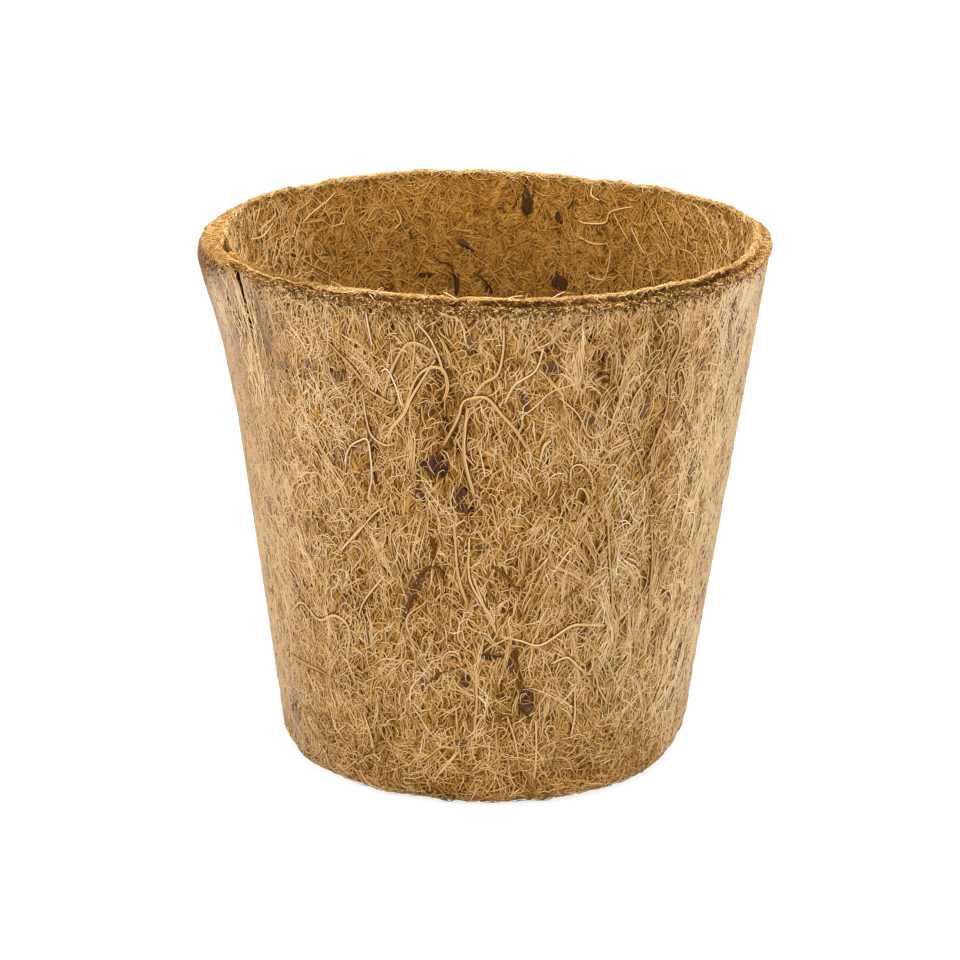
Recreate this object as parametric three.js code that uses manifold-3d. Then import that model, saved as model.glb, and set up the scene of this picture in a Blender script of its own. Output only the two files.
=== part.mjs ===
// A plant pot pressed from latex-bonded coir felt. Two nested felt plies make the wall and the floor,
// and chips of coconut husk and long coir strands lie pressed into their faces.
// Millimetres, +Z up, the origin at the centre of the underside, and the front of the pot towards -Y.
import * as THREE from "three";
import { mergeVertices } from "three/addons/utils/BufferGeometryUtils.js";
import Module from "manifold-3d";

const wasm = await Module();
wasm.setup();

// Driving dimensions
const POT_HEIGHT = 96.2;
const RIM_RADIUS = 50.1; // of the outer face, drawn on up to the rim
const FOOT_RADIUS = 37; // of the outer face, drawn on down to the ground
const CORNER_RADIUS = 4.2; // between the wall and the underside
const OUTER_PLY = 1.7; // felt thickness
const INNER_PLY = 1.3;
const FIT_GAP = 0.3; // between pieces that lie against each other
const TRIM_STEP = 1.1; // how far the outer ply is trimmed below the rim
const TRIM_BEVEL = 0.4; // height of the slant of that ragged cut
const RIM_BEVEL = 0.3; // height of the slant of the inner ply's cut
const ROUND_SIDES = 64;
const CORNER_STEPS = 3; // pairs of straight pieces in a rounded corner
const WELD = 1e-4; // points closer than this are one

// The pleat, where the felt blank was gathered in the press: a lap of the outer ply stands off the wall
const PLEAT_TURN = -64.5; // degrees round from the front, of the open edge at the rim
const PLEAT_SWING = 7.5; // degrees that the open edge moves towards the front on its way down
const PLEAT_SWING_RATE = 5; // the higher, the nearer the rim it does so
const PLEAT_WIDTH = 62; // degrees, at the rim
const PLEAT_TIP_WIDTH = 30;
const PLEAT_LENGTH = 36; // down from the rim
const PLEAT_LIFT = 2.2; // at the rim
const PLEAT_SINK = 0.4; // of the lap's ends in the wall
const PLEAT_CREST = 0.55; // part of the way across the lap at which it stands highest
const PLEAT_FALL = 1.5; // from the crest to the open edge
const PLEAT_TAPER = 1.3; // of the lift, from the rim down
const PLEAT_ROOT = 0.6; // part of the ply's thickness that the lap reaches into
const PLEAT_GRID = [10, 6]; // panels across and up
const SLIT_LENGTH = 18; // of the crevice under the open edge
const SLIT_WIDTH = 1.2; // degrees
const SLIT_DEPTH = 0.9;
const SLIT_BEHIND = 0.2; // part of its width that lies behind the open edge
const SLIT_TIP = 0.3; // width and depth at its lower end, as parts of those at the rim
const SLIT_ROWS = 4;
const CUT_OVER = 1; // how far a cutter stands out of the felt
const POUCH_TURN = [-81, -74]; // degrees round of the small pouch behind the lap, open at the rim
const POUCH_DEPTH = [0.5, 1.4]; // into the wall
const POUCH_LENGTH = 5;
const POUCH_TIP = 0.4; // opening at its lower end, as a part of that at the rim

const FLAKE_THICKNESS = 1;
const FLAKE_PROUD = 0.15; // of the felt face
const FLAKE_CORNERS = 9;
const FLAKE_TORN = 0.16; // how far a corner is torn in or out, as a part of the chip's size
const FLAKE_TEAR_TURN = 2.3; // radians of the tear's wave from one corner to the next
const STRAND_RADIUS = 0.28;
const STRAND_STEP = 2.4; // length of a straight piece of a strand
const STRAND_SIDES = 5;
const GROOVE_SIDES = 6;
const GROOVE_RADIUS = STRAND_RADIUS + 0.45;
const GROOVE_POINTS = 3; // for each point of a strand's route
const GROOVE_END = 0.6; // how far a groove runs on beyond its strand

const WALL_LEAN = Math.atan((RIM_RADIUS - FOOT_RADIUS) / POT_HEIGHT);
const INNER_FACE = OUTER_PLY + FIT_GAP + INNER_PLY; // depth of the inner face under the outer one
const RADIANS = Math.PI / 180;

// Husk chips in the outer face: degrees round from the front (right is positive), height, width, length
// and lean. Those of the back half are placed about as densely as the ones in sight at the front.
const OUTER_FLAKES = [
  [-11, 66, 4.6, 4.2, 20],
  [-5, 60, 2.6, 6, -10],
  [-14.5, 60, 1.8, 2.8, -40],
  [-1, 51, 1.6, 2.2, 10],
  [-17, 42, 2.4, 9, 28],
  [1.4, 30.2, 3.8, 2, 4],
  [-4, 25, 1.8, 2.6, 10],
  [11.3, 21, 3, 7, -8],
  [7.3, 28.6, 1.8, 5, -18],
  [62, 23, 1.8, 6.4, 4],
  [62, 14, 2, 5.4, 4],
  [53, 60, 2, 6, 4],
  [-5.4, 12.3, 2.6, 2.2, 0],
  [-15, 24, 1.8, 2.2, 40],
  [-40, 81, 1.4, 3.2, 4],
  [-32, 80, 2, 3, 20],
  [-4, 89, 2, 3.4, -8],
  [-12, 77, 2.6, 4, 0],
  [13, 84, 3.6, 3.2, 0],
  [7.8, 78, 1.6, 4.2, -18],
  [21.3, 74.2, 3, 3, 0],
  [35, 74.5, 1.8, 4.8, 16],
  [51, 80.5, 1.8, 2.8, 0],
  [37, 83, 1.6, 3, 30],
  [60, 88.7, 1.8, 5.6, 4],
  [-51, 50, 2, 2.4, -20],
  [88, 68, 2.4, 5, 6],
  [104, 36, 3.2, 3, 30],
  [121, 82, 2, 3.6, -8],
  [136, 20, 2.6, 6.2, 12],
  [152, 58, 3.8, 3.4, 20],
  [174, 40, 2.2, 7, -18],
  [194, 74, 2.6, 3.6, 0],
  [213, 26, 2.4, 4.4, 10],
  [232, 61, 2, 5.4, -6],
  [254, 34, 3, 2.6, 30],
];

// Husk chips in the inner face, given in the same way
const INNER_FLAKES = [
  [171, 90.5, 2.4, 5.4, -6],
  [162, 75.6, 2.8, 4.4, -50],
  [163, 88, 1.4, 2.8, -35],
  [180, 73.5, 1.2, 2.4, -35],
  [186, 82, 1.6, 3.4, -58],
  [196, 76.4, 3.6, 1.2, 0],
  [188, 74.5, 1.1, 5, 0],
  [30, 60, 2.6, 3.4, 10],
];

// Routes of the long strands over the outer face: degrees round from the front and height, point by point
const STRANDS = [
  [[-22, 77], [-19, 84], [-16, 88], [-13, 88], [-10, 86]],
  [[-18, 73], [-15, 81], [-12, 84], [-9, 84], [-8, 81], [-9, 78]],
  [[-9, 70], [-6, 75], [-5, 78], [-3, 79], [0, 79], [3, 76], [6, 73], [9, 69]],
  [[-3, 46], [0, 40], [2, 36]],
  [[4, 34], [9, 33], [14, 32], [21, 35], [25, 35], [31, 34]],
  [[17, 28], [21, 29], [24, 27], [27, 25]],
  [[-7, 56], [-6, 46], [-4, 40]],
  [[-57, 31], [-51, 34], [-45, 32], [-39, 34], [-35, 32], [-37, 25]],
  [[-33, 16], [-31, 12], [-30, 7]],
  [[-35, 87], [-29, 83], [-25, 79]],
];

const felt = (color) => new THREE.MeshStandardMaterial({ color, roughness: 0.8, metalness: 0 });
const OUTER_FELT = felt(0xa9814f);
const INNER_FELT = felt(0x8f6430);
const HUSK = felt(0x4a3228);
const STRAND = felt(0xc9a268);

/** Radius of the outer face at a height, less a depth into the felt. */
function wallRadius(height, depth = 0) {
  return FOOT_RADIUS + height * Math.tan(WALL_LEAN) - depth / Math.cos(WALL_LEAN);
}

/** A point on the wall: degrees round from the front, a height and a depth into the felt. */
function onWall(turn, height, depth = 0) {
  const radius = wallRadius(height, depth);
  return new THREE.Vector3(radius * Math.sin(turn * RADIANS), -radius * Math.cos(turn * RADIANS), height);
}

/** A closed geometry as a solid for cutting and joining. */
function solidOf(geometry) {
  const bare = geometry.clone();
  bare.deleteAttribute("normal");
  bare.deleteAttribute("uv");
  const merged = mergeVertices(bare, WELD);
  const triVerts = [];
  for (let i = 0; i < merged.index.count; i += 3) {
    const [a, b, c] = merged.index.array.slice(i, i + 3);
    if (a !== b && b !== c && c !== a) triVerts.push(a, b, c);
  }
  return new wasm.Manifold(
    new wasm.Mesh({
      numProp: 3,
      vertProperties: merged.attributes.position.array,
      triVerts: new Uint32Array(triVerts),
    }),
  );
}

/** A solid back as a geometry. */
function geometryOf(solid) {
  const { vertProperties, triVerts } = solid.getMesh();
  const geometry = new THREE.BufferGeometry();
  geometry.setAttribute("position", new THREE.BufferAttribute(vertProperties, 3));
  geometry.setIndex(new THREE.BufferAttribute(triVerts, 1));
  geometry.computeVertexNormals();
  return geometry;
}

/** A mesh's geometry where its groups place it. */
function placed(mesh) {
  mesh.updateWorldMatrix(true, false);
  return mesh.geometry.clone().applyMatrix4(mesh.matrixWorld);
}

/** One felt ply as a cup: its outer face lies `depth` under the pot's, and its bevelled edge ends at `top`. */
function feltCup(depth, thickness, top, bevel) {
  const outline = new THREE.Path();
  const corner = (layer, clockwise) => {
    const radius = CORNER_RADIUS - layer;
    const centre = wallRadius(CORNER_RADIUS, CORNER_RADIUS);
    const [from, to] = clockwise ? [-WALL_LEAN, -Math.PI / 2] : [-Math.PI / 2, -WALL_LEAN];
    outline.absarc(centre, CORNER_RADIUS, radius, from, to, clockwise);
  };
  const inside = depth + thickness;
  outline.moveTo(0, depth);
  outline.lineTo(wallRadius(CORNER_RADIUS, CORNER_RADIUS), depth);
  corner(depth, false);
  outline.lineTo(wallRadius(top - bevel, depth), top - bevel);
  outline.lineTo(wallRadius(top, depth + thickness / 2), top);
  outline.lineTo(wallRadius(top, inside), top);
  corner(inside, true);
  outline.lineTo(0, inside);
  return new THREE.LatheGeometry(outline.getPoints(CORNER_STEPS), ROUND_SIDES).rotateX(Math.PI / 2);
}

/** A closed slab between two sheets, each a function of u and v from 0 to 1. */
function slab(columns, rows, outside, inside) {
  const wide = columns + 1;
  const sheet = wide * (rows + 1);
  const points = [];
  for (const face of [outside, inside])
    for (let row = 0; row <= rows; row++)
      for (let column = 0; column <= columns; column++)
        points.push(...face(column / columns, row / rows).toArray());
  const index = [];
  const quad = (a, b, c, d) => index.push(a, b, c, a, c, d);
  for (let row = 0; row < rows; row++)
    for (let column = 0; column < columns; column++) {
      const at = row * wide + column;
      quad(at, at + 1, at + wide + 1, at + wide);
      quad(sheet + at, sheet + at + wide, sheet + at + wide + 1, sheet + at + 1);
    }
  const rim = [];
  for (let column = 0; column < columns; column++) rim.push(column);
  for (let row = 0; row < rows; row++) rim.push(row * wide + columns);
  for (let column = columns; column > 0; column--) rim.push(rows * wide + column);
  for (let row = rows; row > 0; row--) rim.push(row * wide);
  rim.forEach((at, i) => {
    const next = rim[(i + 1) % rim.length];
    quad(at, sheet + at, sheet + next, next);
  });
  const geometry = new THREE.BufferGeometry();
  geometry.setAttribute("position", new THREE.Float32BufferAttribute(points, 3));
  return geometry.setIndex(index);
}

/** Degrees round of the pleat's open edge at a height: it swings below the rim, and then runs straight down. */
function pleatEdge(height) {
  const down = (POT_HEIGHT - height) / PLEAT_LENGTH;
  return PLEAT_TURN + PLEAT_SWING * (1 - Math.exp(-PLEAT_SWING_RATE * down));
}

/** The lap of the pleat: it stands off the wall at the rim, and runs out into the wall below and behind. */
function pleatLap() {
  const top = POT_HEIGHT - TRIM_STEP - TRIM_BEVEL;
  const low = POT_HEIGHT - PLEAT_LENGTH;
  const at = (u, v, lift) => {
    const height = THREE.MathUtils.lerp(low, top, v);
    const width = THREE.MathUtils.lerp(PLEAT_TIP_WIDTH, PLEAT_WIDTH, v);
    return onWall(pleatEdge(height) - width * (1 - u), height, -lift);
  };
  const swell = (u) => {
    if (u < PLEAT_CREST) return THREE.MathUtils.smoothstep(u, 0, PLEAT_CREST);
    return 1 - PLEAT_FALL * (u - PLEAT_CREST) ** 2;
  };
  const lift = (u, v) => (PLEAT_LIFT + PLEAT_SINK) * swell(u) * v ** PLEAT_TAPER - PLEAT_SINK;
  const root = -OUTER_PLY * PLEAT_ROOT;
  return slab(...PLEAT_GRID, (u, v) => at(u, v, lift(u, v)), (u, v) => at(u, v, root));
}

/** The crevice under the pleat's open edge. */
function pleatSlit() {
  const opened = (v) => THREE.MathUtils.lerp(SLIT_TIP, 1, v);
  const at = (u, v, depth) => {
    const height = POT_HEIGHT - SLIT_LENGTH * (1 - v);
    const aside = SLIT_WIDTH * (u - SLIT_BEHIND) * opened(v);
    return onWall(pleatEdge(height) + aside, height, depth);
  };
  const above = PLEAT_LIFT + CUT_OVER;
  return slab(1, SLIT_ROWS, (u, v) => at(u, v, -above), (u, v) => at(u, v, SLIT_DEPTH * opened(v)));
}

/** The pouch between the lap and the wall, open at the rim. */
function pleatPouch() {
  const at = (u, v, depth) => {
    const turn = THREE.MathUtils.lerp(...POUCH_TURN, u);
    return onWall(turn, POT_HEIGHT - POUCH_LENGTH * (1 - v), depth);
  };
  const [near, far] = POUCH_DEPTH;
  const opened = (v) => (far - near) * THREE.MathUtils.lerp(POUCH_TIP, 1, v);
  return slab(2, 1, (u, v) => at(u, v, near), (u, v) => at(u, v, near + opened(v)));
}

/** A husk chip's outline: an oval with torn corners, `margin` wider all round for its seat. */
function flakeShape(wide, tall, margin) {
  const points = [];
  for (let corner = 0; corner < FLAKE_CORNERS; corner++) {
    const angle = (corner / FLAKE_CORNERS) * 2 * Math.PI;
    const torn = 1 + FLAKE_TORN * Math.sin(FLAKE_TEAR_TURN * corner + wide + tall);
    points.push(
      new THREE.Vector2(
        (wide / 2) * torn * Math.cos(angle) + margin * Math.cos(angle),
        (tall / 2) * torn * Math.sin(angle) + margin * Math.sin(angle),
      ),
    );
  }
  return new THREE.Shape(points);
}

/** A husk chip and the seat cut for it, both lying in the felt face at z = 0 with +Z out of it. */
function flakeGeometries(wide, tall, lean) {
  const block = (margin, depth) =>
    new THREE.ExtrudeGeometry(flakeShape(wide, tall, margin), { depth, bevelEnabled: false });
  const seatDepth = FLAKE_THICKNESS + FIT_GAP;
  const chip = block(0, FLAKE_THICKNESS);
  const seat = block(FIT_GAP, seatDepth + CUT_OVER);
  const turned = (geometry, sunk) => geometry.translate(0, 0, FLAKE_PROUD - sunk).rotateZ(-lean * RADIANS);
  return [turned(chip, FLAKE_THICKNESS), turned(seat, seatDepth)];
}

/** Sets chips into a face of the wall as named meshes of the pot, and returns the ply with their seats cut. */
function setFlakes(pot, ply, flakes, depth, name) {
  const inward = depth > 0 ? -1 : 1;
  flakes.forEach(([turn, height, wide, tall, lean], i) => {
    const [chip, seat] = flakeGeometries(wide, tall, lean);
    const place = new THREE.Group();
    place.rotation.z = turn * RADIANS + (inward < 0 ? Math.PI : 0);
    const mesh = new THREE.Mesh(chip, HUSK);
    mesh.name = `${name}_${String(i + 1).padStart(2, "0")}`;
    mesh.position.set(0, -inward * wallRadius(height, depth), height);
    mesh.rotation.x = Math.PI / 2 + inward * WALL_LEAN;
    place.add(mesh);
    pot.add(place);
    const cutter = mesh.clone();
    cutter.geometry = seat;
    place.add(cutter);
    ply = ply.subtract(solidOf(placed(cutter)));
    place.remove(cutter);
  });
  return ply;
}

/** A round tube along a route. */
function tube(route, radius, sides) {
  const section = new THREE.Shape();
  for (let side = 0; side < sides; side++) {
    const angle = (side / sides) * 2 * Math.PI;
    const [x, y] = [radius * Math.cos(angle), radius * Math.sin(angle)];
    if (side === 0) section.moveTo(x, y);
    else section.lineTo(x, y);
  }
  const steps = Math.ceil(route.getLength() / STRAND_STEP);
  return new THREE.ExtrudeGeometry(section, { steps, extrudePath: route, bevelEnabled: false });
}

/** Lays the long strands half sunk in the outer face, and returns the ply with their grooves cut. */
function layStrands(pot, ply) {
  STRANDS.forEach((points, i) => {
    const knots = points.map(([turn, height]) => onWall(turn, height, -STRAND_RADIUS / 2));
    const route = new THREE.CatmullRomCurve3(knots);
    const mesh = new THREE.Mesh(tube(route, STRAND_RADIUS, STRAND_SIDES), STRAND);
    mesh.name = `surface_strand_${String(i + 1).padStart(2, "0")}`;
    pot.add(mesh);
    const longer = route.getSpacedPoints(points.length * GROOVE_POINTS);
    longer[0].addScaledVector(route.getTangentAt(0), -GROOVE_END);
    longer.at(-1).addScaledVector(route.getTangentAt(1), GROOVE_END);
    const groove = tube(new THREE.CatmullRomCurve3(longer), GROOVE_RADIUS, GROOVE_SIDES);
    ply = ply.subtract(solidOf(groove));
  });
  return ply;
}

const pot = new THREE.Group();
pot.name = "coir_pot";

const outerTop = POT_HEIGHT - TRIM_STEP;
let outer = solidOf(feltCup(0, OUTER_PLY, outerTop, TRIM_BEVEL));
outer = outer.add(solidOf(pleatLap()));
outer = outer.subtract(solidOf(pleatSlit())).subtract(solidOf(pleatPouch()));
outer = setFlakes(pot, outer, OUTER_FLAKES, 0, "husk_flake");
outer = layStrands(pot, outer);

let inner = solidOf(feltCup(OUTER_PLY + FIT_GAP, INNER_PLY, POT_HEIGHT, RIM_BEVEL));
inner = setFlakes(pot, inner, INNER_FLAKES, INNER_FACE, "inner_husk_flake");

for (const [name, solid, material] of [
  ["outer_ply", outer, OUTER_FELT],
  ["inner_ply", inner, INNER_FELT],
]) {
  const mesh = new THREE.Mesh(geometryOf(solid), material);
  mesh.name = name;
  pot.add(mesh);
}

export default pot;
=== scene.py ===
import math
from collections import namedtuple
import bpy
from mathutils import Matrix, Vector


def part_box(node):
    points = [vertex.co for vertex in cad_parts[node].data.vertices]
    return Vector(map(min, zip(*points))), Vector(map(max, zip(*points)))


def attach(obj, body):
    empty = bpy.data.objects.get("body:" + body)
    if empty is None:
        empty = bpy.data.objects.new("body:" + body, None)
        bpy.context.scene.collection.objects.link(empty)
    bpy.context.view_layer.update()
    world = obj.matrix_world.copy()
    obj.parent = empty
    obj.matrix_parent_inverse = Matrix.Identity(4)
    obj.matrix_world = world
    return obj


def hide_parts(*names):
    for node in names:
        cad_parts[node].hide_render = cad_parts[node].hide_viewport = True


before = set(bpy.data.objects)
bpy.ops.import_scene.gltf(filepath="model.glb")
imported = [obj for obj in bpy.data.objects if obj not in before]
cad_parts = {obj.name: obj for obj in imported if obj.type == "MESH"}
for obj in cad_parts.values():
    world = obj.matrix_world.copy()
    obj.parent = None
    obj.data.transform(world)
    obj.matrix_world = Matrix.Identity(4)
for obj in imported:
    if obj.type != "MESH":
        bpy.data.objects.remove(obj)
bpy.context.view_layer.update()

from types import SimpleNamespace

import bpy
import numpy as np
from mathutils import Matrix, Vector

# A plant pot pressed from coir felt. Two felt shells carry thousands of single fibres, the husk chips and
# the long strands. Sizes are in millimetres until a mesh is made, and a place on a wall is given by its turn,
# in degrees round from the front with the right positive, and its height.

scene = bpy.context.scene
bpy.ops.object.select_all(action="DESELECT")
rng = np.random.default_rng(41)

# The pot's sizes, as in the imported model

MM = 0.001
POT_HEIGHT = 96.2
RIM_RADIUS = 50.1
FOOT_RADIUS = 37.0
CORNER_RADIUS = 4.2
OUTER_PLY = 1.7
INNER_PLY = 1.3
FIT_GAP = 0.3
INNER_BACK = OUTER_PLY + FIT_GAP  # depth of the inner ply's back under the outer face
INNER_FACE = INNER_BACK + INNER_PLY  # depth of the inner face under the outer one
OUTER_TOP = 95.1  # where the outer ply is trimmed
LEAN = math.atan((RIM_RADIUS - FOOT_RADIUS) / POT_HEIGHT)
MEAN_RADIUS = 43.5  # of the wall, for the patterns on it
CHIP_RADIUS = 43  # of the wall, for widths across the chips
BED = 0.38  # depth of the felt shells under the pot's faces, in which the fibres lie
SHELL_SIDES = 256
RIM_DIP = 0.9  # how far the pleat draws the rim down next to it

# The pleat's lap, and the pocket that it holds open at the rim

PLEAT_TURN = -64.5  # of its open edge at the rim
PLEAT_SWING = 7.5  # how far the edge swings to the right below the rim, in degrees
PLEAT_WIDTH = 62  # at the rim, in degrees
PLEAT_TIP_WIDTH = 30  # at its foot
PLEAT_FOOT = POT_HEIGHT - 36
PLEAT_SINK = 0.4  # how far the lap's tail is let into the wall
LAP_TOP = 94.7  # the height at which the lap is widest
LAP_CREST = 0.55  # where the crest is, as a part of the way to the open edge
LAP_OPEN = 79  # the height above which the open edge is clear of the wall
POCKET_TURN = -76.5
# How far the lap's crest stands off the wall: height and lift
LAP_STAND = [
    (60, 0.0), (66.5, 0.5), (71, 0.65), (76, 0.75), (80.5, 1.25), (84, 1.75), (88.5, 2.5), (92, 2.9),
    (93.5, 2.6), (94.7, 1.7), (96.2, 1.4),
]

# Thin places in the mat, with fewer fibres and painted shade: turn, height, half width, half height and
# strength
THIN_PLACES = [
    (-8.5, 75, 3.2, 12, 0.8), (-9, 90, 2.5, 4, 0.6), (-4, 60, 4, 6, 0.65), (-10, 66, 5, 5, 0.5),
    (-8.4, 70.8, 1.8, 3.6, 1.0), (13, 59.5, 4, 3, 0.7), (24, 85, 1.8, 4, 1.0), (26, 78.5, 1.6, 3, 0.9),
    (8.5, 42, 3, 4, 0.6), (41, 56, 1.4, 5, 0.65), (37, 66, 1.6, 6, 0.5), (5.5, 21, 3, 6, 0.6),
    (20, 62, 3, 2, 0.6), (-25, 65, 1.4, 4, 0.8), (-13, 43, 4, 5, 0.4), (22, 48, 1.2, 2, 0.8),
    (-3, 89, 2, 3, 0.5), (36, 86, 1.4, 5, 0.7),
]

# Spots of latex on the wall: turn, height, half width in degrees, half height and strength. The first two
# are a painted sheen on the pleat's lap.
LATEX_AND_SHEEN_SPOTS = [
    (-69, 89, 4, 3.5, 0.5), (-69, 83, 5, 6, 0.25), (-56, 73, 3.5, 4, 0.1), (-45, 89, 10, 7, 0.05),
    (-40, 76, 7, 14, 0.1), (62, 88, 8, 9, 0.25), (53, 60, 6, 12, 0.08), (-50, 22, 10, 12, -0.08),
    (-57, 82, 6, 10, -0.1),
]

# Paler and browner places on the wall: turn, height, half width in degrees, half height and how much paler.
# The first, under the rim on the pleat's lap, is painted shade.
TONE_SPOTS = [
    (-73, 93.5, 8, 2.2, -0.3), (-55, 84, 9, 13, -0.38), (34, 38, 9, 30, 0.12), (-32, 45, 8, 20, 0.05),
    (62, 12, 14, 9, 0.1), (-40, 78, 7, 16, 0.05), (1, 84, 14, 8, -0.1), (-14, 81, 5, 6, -0.11),
    (14, 75, 6, 5, -0.09), (33, 52, 6, 6, 0.07), (-50, 22, 10, 12, -0.06),
]


# Helpers for places on the wall

def from_front(turn):
    """A turn between -180 and 180 degrees."""
    return (np.asarray(turn) + 180) % 360 - 180


def part_way(value, start, full):
    """How far a value is on its way from start to full, from 0 to 1."""
    return np.clip((value - start) / (full - start), 0, 1)


def bell(off, width):
    """1 in the middle, and almost nothing at twice the width."""
    return np.exp(-((off / width) ** 2))


def unit(vectors):
    """Vectors brought to a length of 1."""
    return vectors / np.maximum(np.linalg.norm(vectors, axis=-1, keepdims=True), 1e-9)


def polar(r, turn, z):
    """Points at a radius, a turn and a height."""
    angle = np.radians(turn)
    return np.stack([r * np.sin(angle), -r * np.cos(angle), z], -1)


def spotted(spots, turn, height):
    """The sum of a table's soft spots at places on the wall."""
    total = 0
    for at, middle, wide, tall, strength in spots:
        total = total + strength * bell(from_front(turn - at), wide) * bell(height - middle, tall)
    return total


def waves(turn, height, size, seed):
    """A smooth random pattern from -1 to 1 over the wall, with patches about size mm across."""
    dice = np.random.default_rng(seed)
    x, y = np.radians(turn) * MEAN_RADIUS, height
    total = 0
    for _ in range(7):
        way = dice.uniform(0, 2 * math.pi)
        pace = 2 * math.pi / (size * dice.uniform(1.4, 3.2))
        around = round(pace * math.cos(way) * MEAN_RADIUS) / MEAN_RADIUS
        total = total + np.sin(around * x + pace * math.sin(way) * y + dice.uniform(0, 2 * math.pi))
    return np.clip(total / 3, -1, 1)


# Camera and light

CAMERA_RISE = math.radians(18.55)  # above the horizon
CAMERA_ROLL = math.radians(0.897)
CAMERA_AIM = 45  # the height on the pot's axis that it looks at
CAMERA_DISTANCE = 628.1
CAMERA_LENS = 127.99
CAMERA_SENSOR = 36
CAMERA_SHIFT = (-5.65 / 960, 20.3 / 960)  # in parts of the picture's width

WHITE = (1, 1, 1, 1)
WORLD_LIGHT = 0.60
LAMP_AIM = Vector((0, 0, 0.05))
# Name, place and size in metres, and power
LAMPS = [
    ("softbox_left", (-0.55, -0.39, 0.34), 0.42, 4.6),
    ("softbox_right", (0.55, -0.39, 0.34), 0.42, 3.8),
    ("softbox_above", (0.0, -0.2, 0.78), 0.5, 4.9),
]
FLOOR_SIZE = 6
FLOOR_DROP = 0.0002
FLOOR_SHADE = (0.30, 0.30, 0.30, 1)  # of the light on the seen floor, what it gives back
FLOOR_GLOW = 0.78  # and what is added, so that it comes out white


def place_camera():
    """The camera that was fitted to the pot's outline."""
    bpy.ops.object.camera_add()
    camera = bpy.context.object
    back = Vector((0, -math.cos(CAMERA_RISE), math.sin(CAMERA_RISE)))
    camera.location = Vector((0, 0, CAMERA_AIM * MM)) + back * CAMERA_DISTANCE * MM
    turn = (-back).to_track_quat("-Z", "Y").to_matrix() @ Matrix.Rotation(CAMERA_ROLL, 3, "Z")
    camera.rotation_euler = turn.to_euler()
    camera.data.lens = CAMERA_LENS
    camera.data.sensor_width = CAMERA_SENSOR
    camera.data.shift_x, camera.data.shift_y = CAMERA_SHIFT
    camera.data.clip_start = 0.01
    scene.camera = camera
    scene.view_settings.view_transform = "Standard"


def linear(hex_colour):
    """An sRGB hex colour as linear RGBA."""
    parts = [int(hex_colour[i : i + 2], 16) / 255 for i in (1, 3, 5)]
    return (*[c / 12.92 if c <= 0.04045 else ((c + 0.055) / 1.055) ** 2.4 for c in parts], 1)


def add_node(tree, kind, values=None, links=None, **settings):
    """Adds a node: settings are its properties, values its unlinked sockets, links its linked ones."""
    node = tree.nodes.new(kind)
    for name, value in settings.items():
        setattr(node, name, value)
    for name, value in (values or {}).items():
        node.inputs[name].default_value = value
    for name, socket in (links or {}).items():
        tree.links.new(socket, node.inputs[name])
    return node


def seen_rays(tree):
    """A socket that is 1 for what is seen, also in a reflection or through glass, and 0 for bounced light."""
    path = add_node(tree, "ShaderNodeLightPath")
    seen = path.outputs["Is Camera Ray"]
    for ray in ("Is Glossy Ray", "Is Transmission Ray"):
        either = add_node(tree, "ShaderNodeMath", links={0: seen, 1: path.outputs[ray]}, operation="MAXIMUM")
        seen = either.outputs[0]
    return seen


def light_studio():
    """Soft white studio light: a pale world, a softbox at each side and one above."""
    world = bpy.data.worlds.new("pale_studio")
    scene.world = world
    world.use_nodes = True
    tree = world.node_tree
    tree.nodes.clear()
    lit = add_node(tree, "ShaderNodeBackground", {"Color": WHITE, "Strength": WORLD_LIGHT})
    white = add_node(tree, "ShaderNodeBackground", {"Color": WHITE, "Strength": 1.0})
    mix = add_node(tree, "ShaderNodeMixShader",
                   links={0: seen_rays(tree), 1: lit.outputs[0], 2: white.outputs[0]})
    add_node(tree, "ShaderNodeOutputWorld", links={"Surface": mix.outputs[0]})
    for name, place, size, power in LAMPS:
        bpy.ops.object.light_add(type="AREA", location=place)
        lamp = bpy.context.object
        lamp.name = name
        lamp.data.size = size
        lamp.data.energy = power
        lamp.rotation_euler = (LAMP_AIM - Vector(place)).to_track_quat("-Z", "Y").to_euler()


def new_material(name):
    """A material with no nodes but its output."""
    material = bpy.data.materials.new(name)
    material.use_nodes = True
    material.node_tree.nodes.clear()
    return material, material.node_tree, add_node(material.node_tree, "ShaderNodeOutputMaterial")


def lay_floor():
    """A plain white floor that keeps the pot's shadow."""
    bpy.ops.mesh.primitive_plane_add(size=FLOOR_SIZE, location=(0, 0, -FLOOR_DROP))
    floor = bpy.context.object
    floor.name = "floor"
    material, tree, out = new_material("white_studio_floor")
    plain = add_node(tree, "ShaderNodeBsdfDiffuse", {"Color": linear("#B8B8B8")})
    shade = add_node(tree, "ShaderNodeBsdfDiffuse", {"Color": FLOOR_SHADE})
    glow = add_node(tree, "ShaderNodeEmission", {"Color": WHITE, "Strength": FLOOR_GLOW})
    lifted = add_node(tree, "ShaderNodeAddShader", links={0: shade.outputs[0], 1: glow.outputs[0]})
    mix = add_node(tree, "ShaderNodeMixShader",
                   links={0: seen_rays(tree), 1: plain.outputs[0], 2: lifted.outputs[0]})
    tree.links.new(mix.outputs[0], out.inputs["Surface"])
    floor.data.materials.append(material)


# Materials

LATEX_FILM = 2.2  # how much more film there is where the latex is at its full 1


def ramp_colours(ramp, stops):
    """Sets a colour ramp's stops from (place, hex colour) pairs."""
    elements = ramp.color_ramp.elements
    while len(elements) < len(stops):
        elements.new(0.5)
    for element, (place, colour) in zip(elements, stops):
        element.position = place
        element.color = linear(colour)


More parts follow.
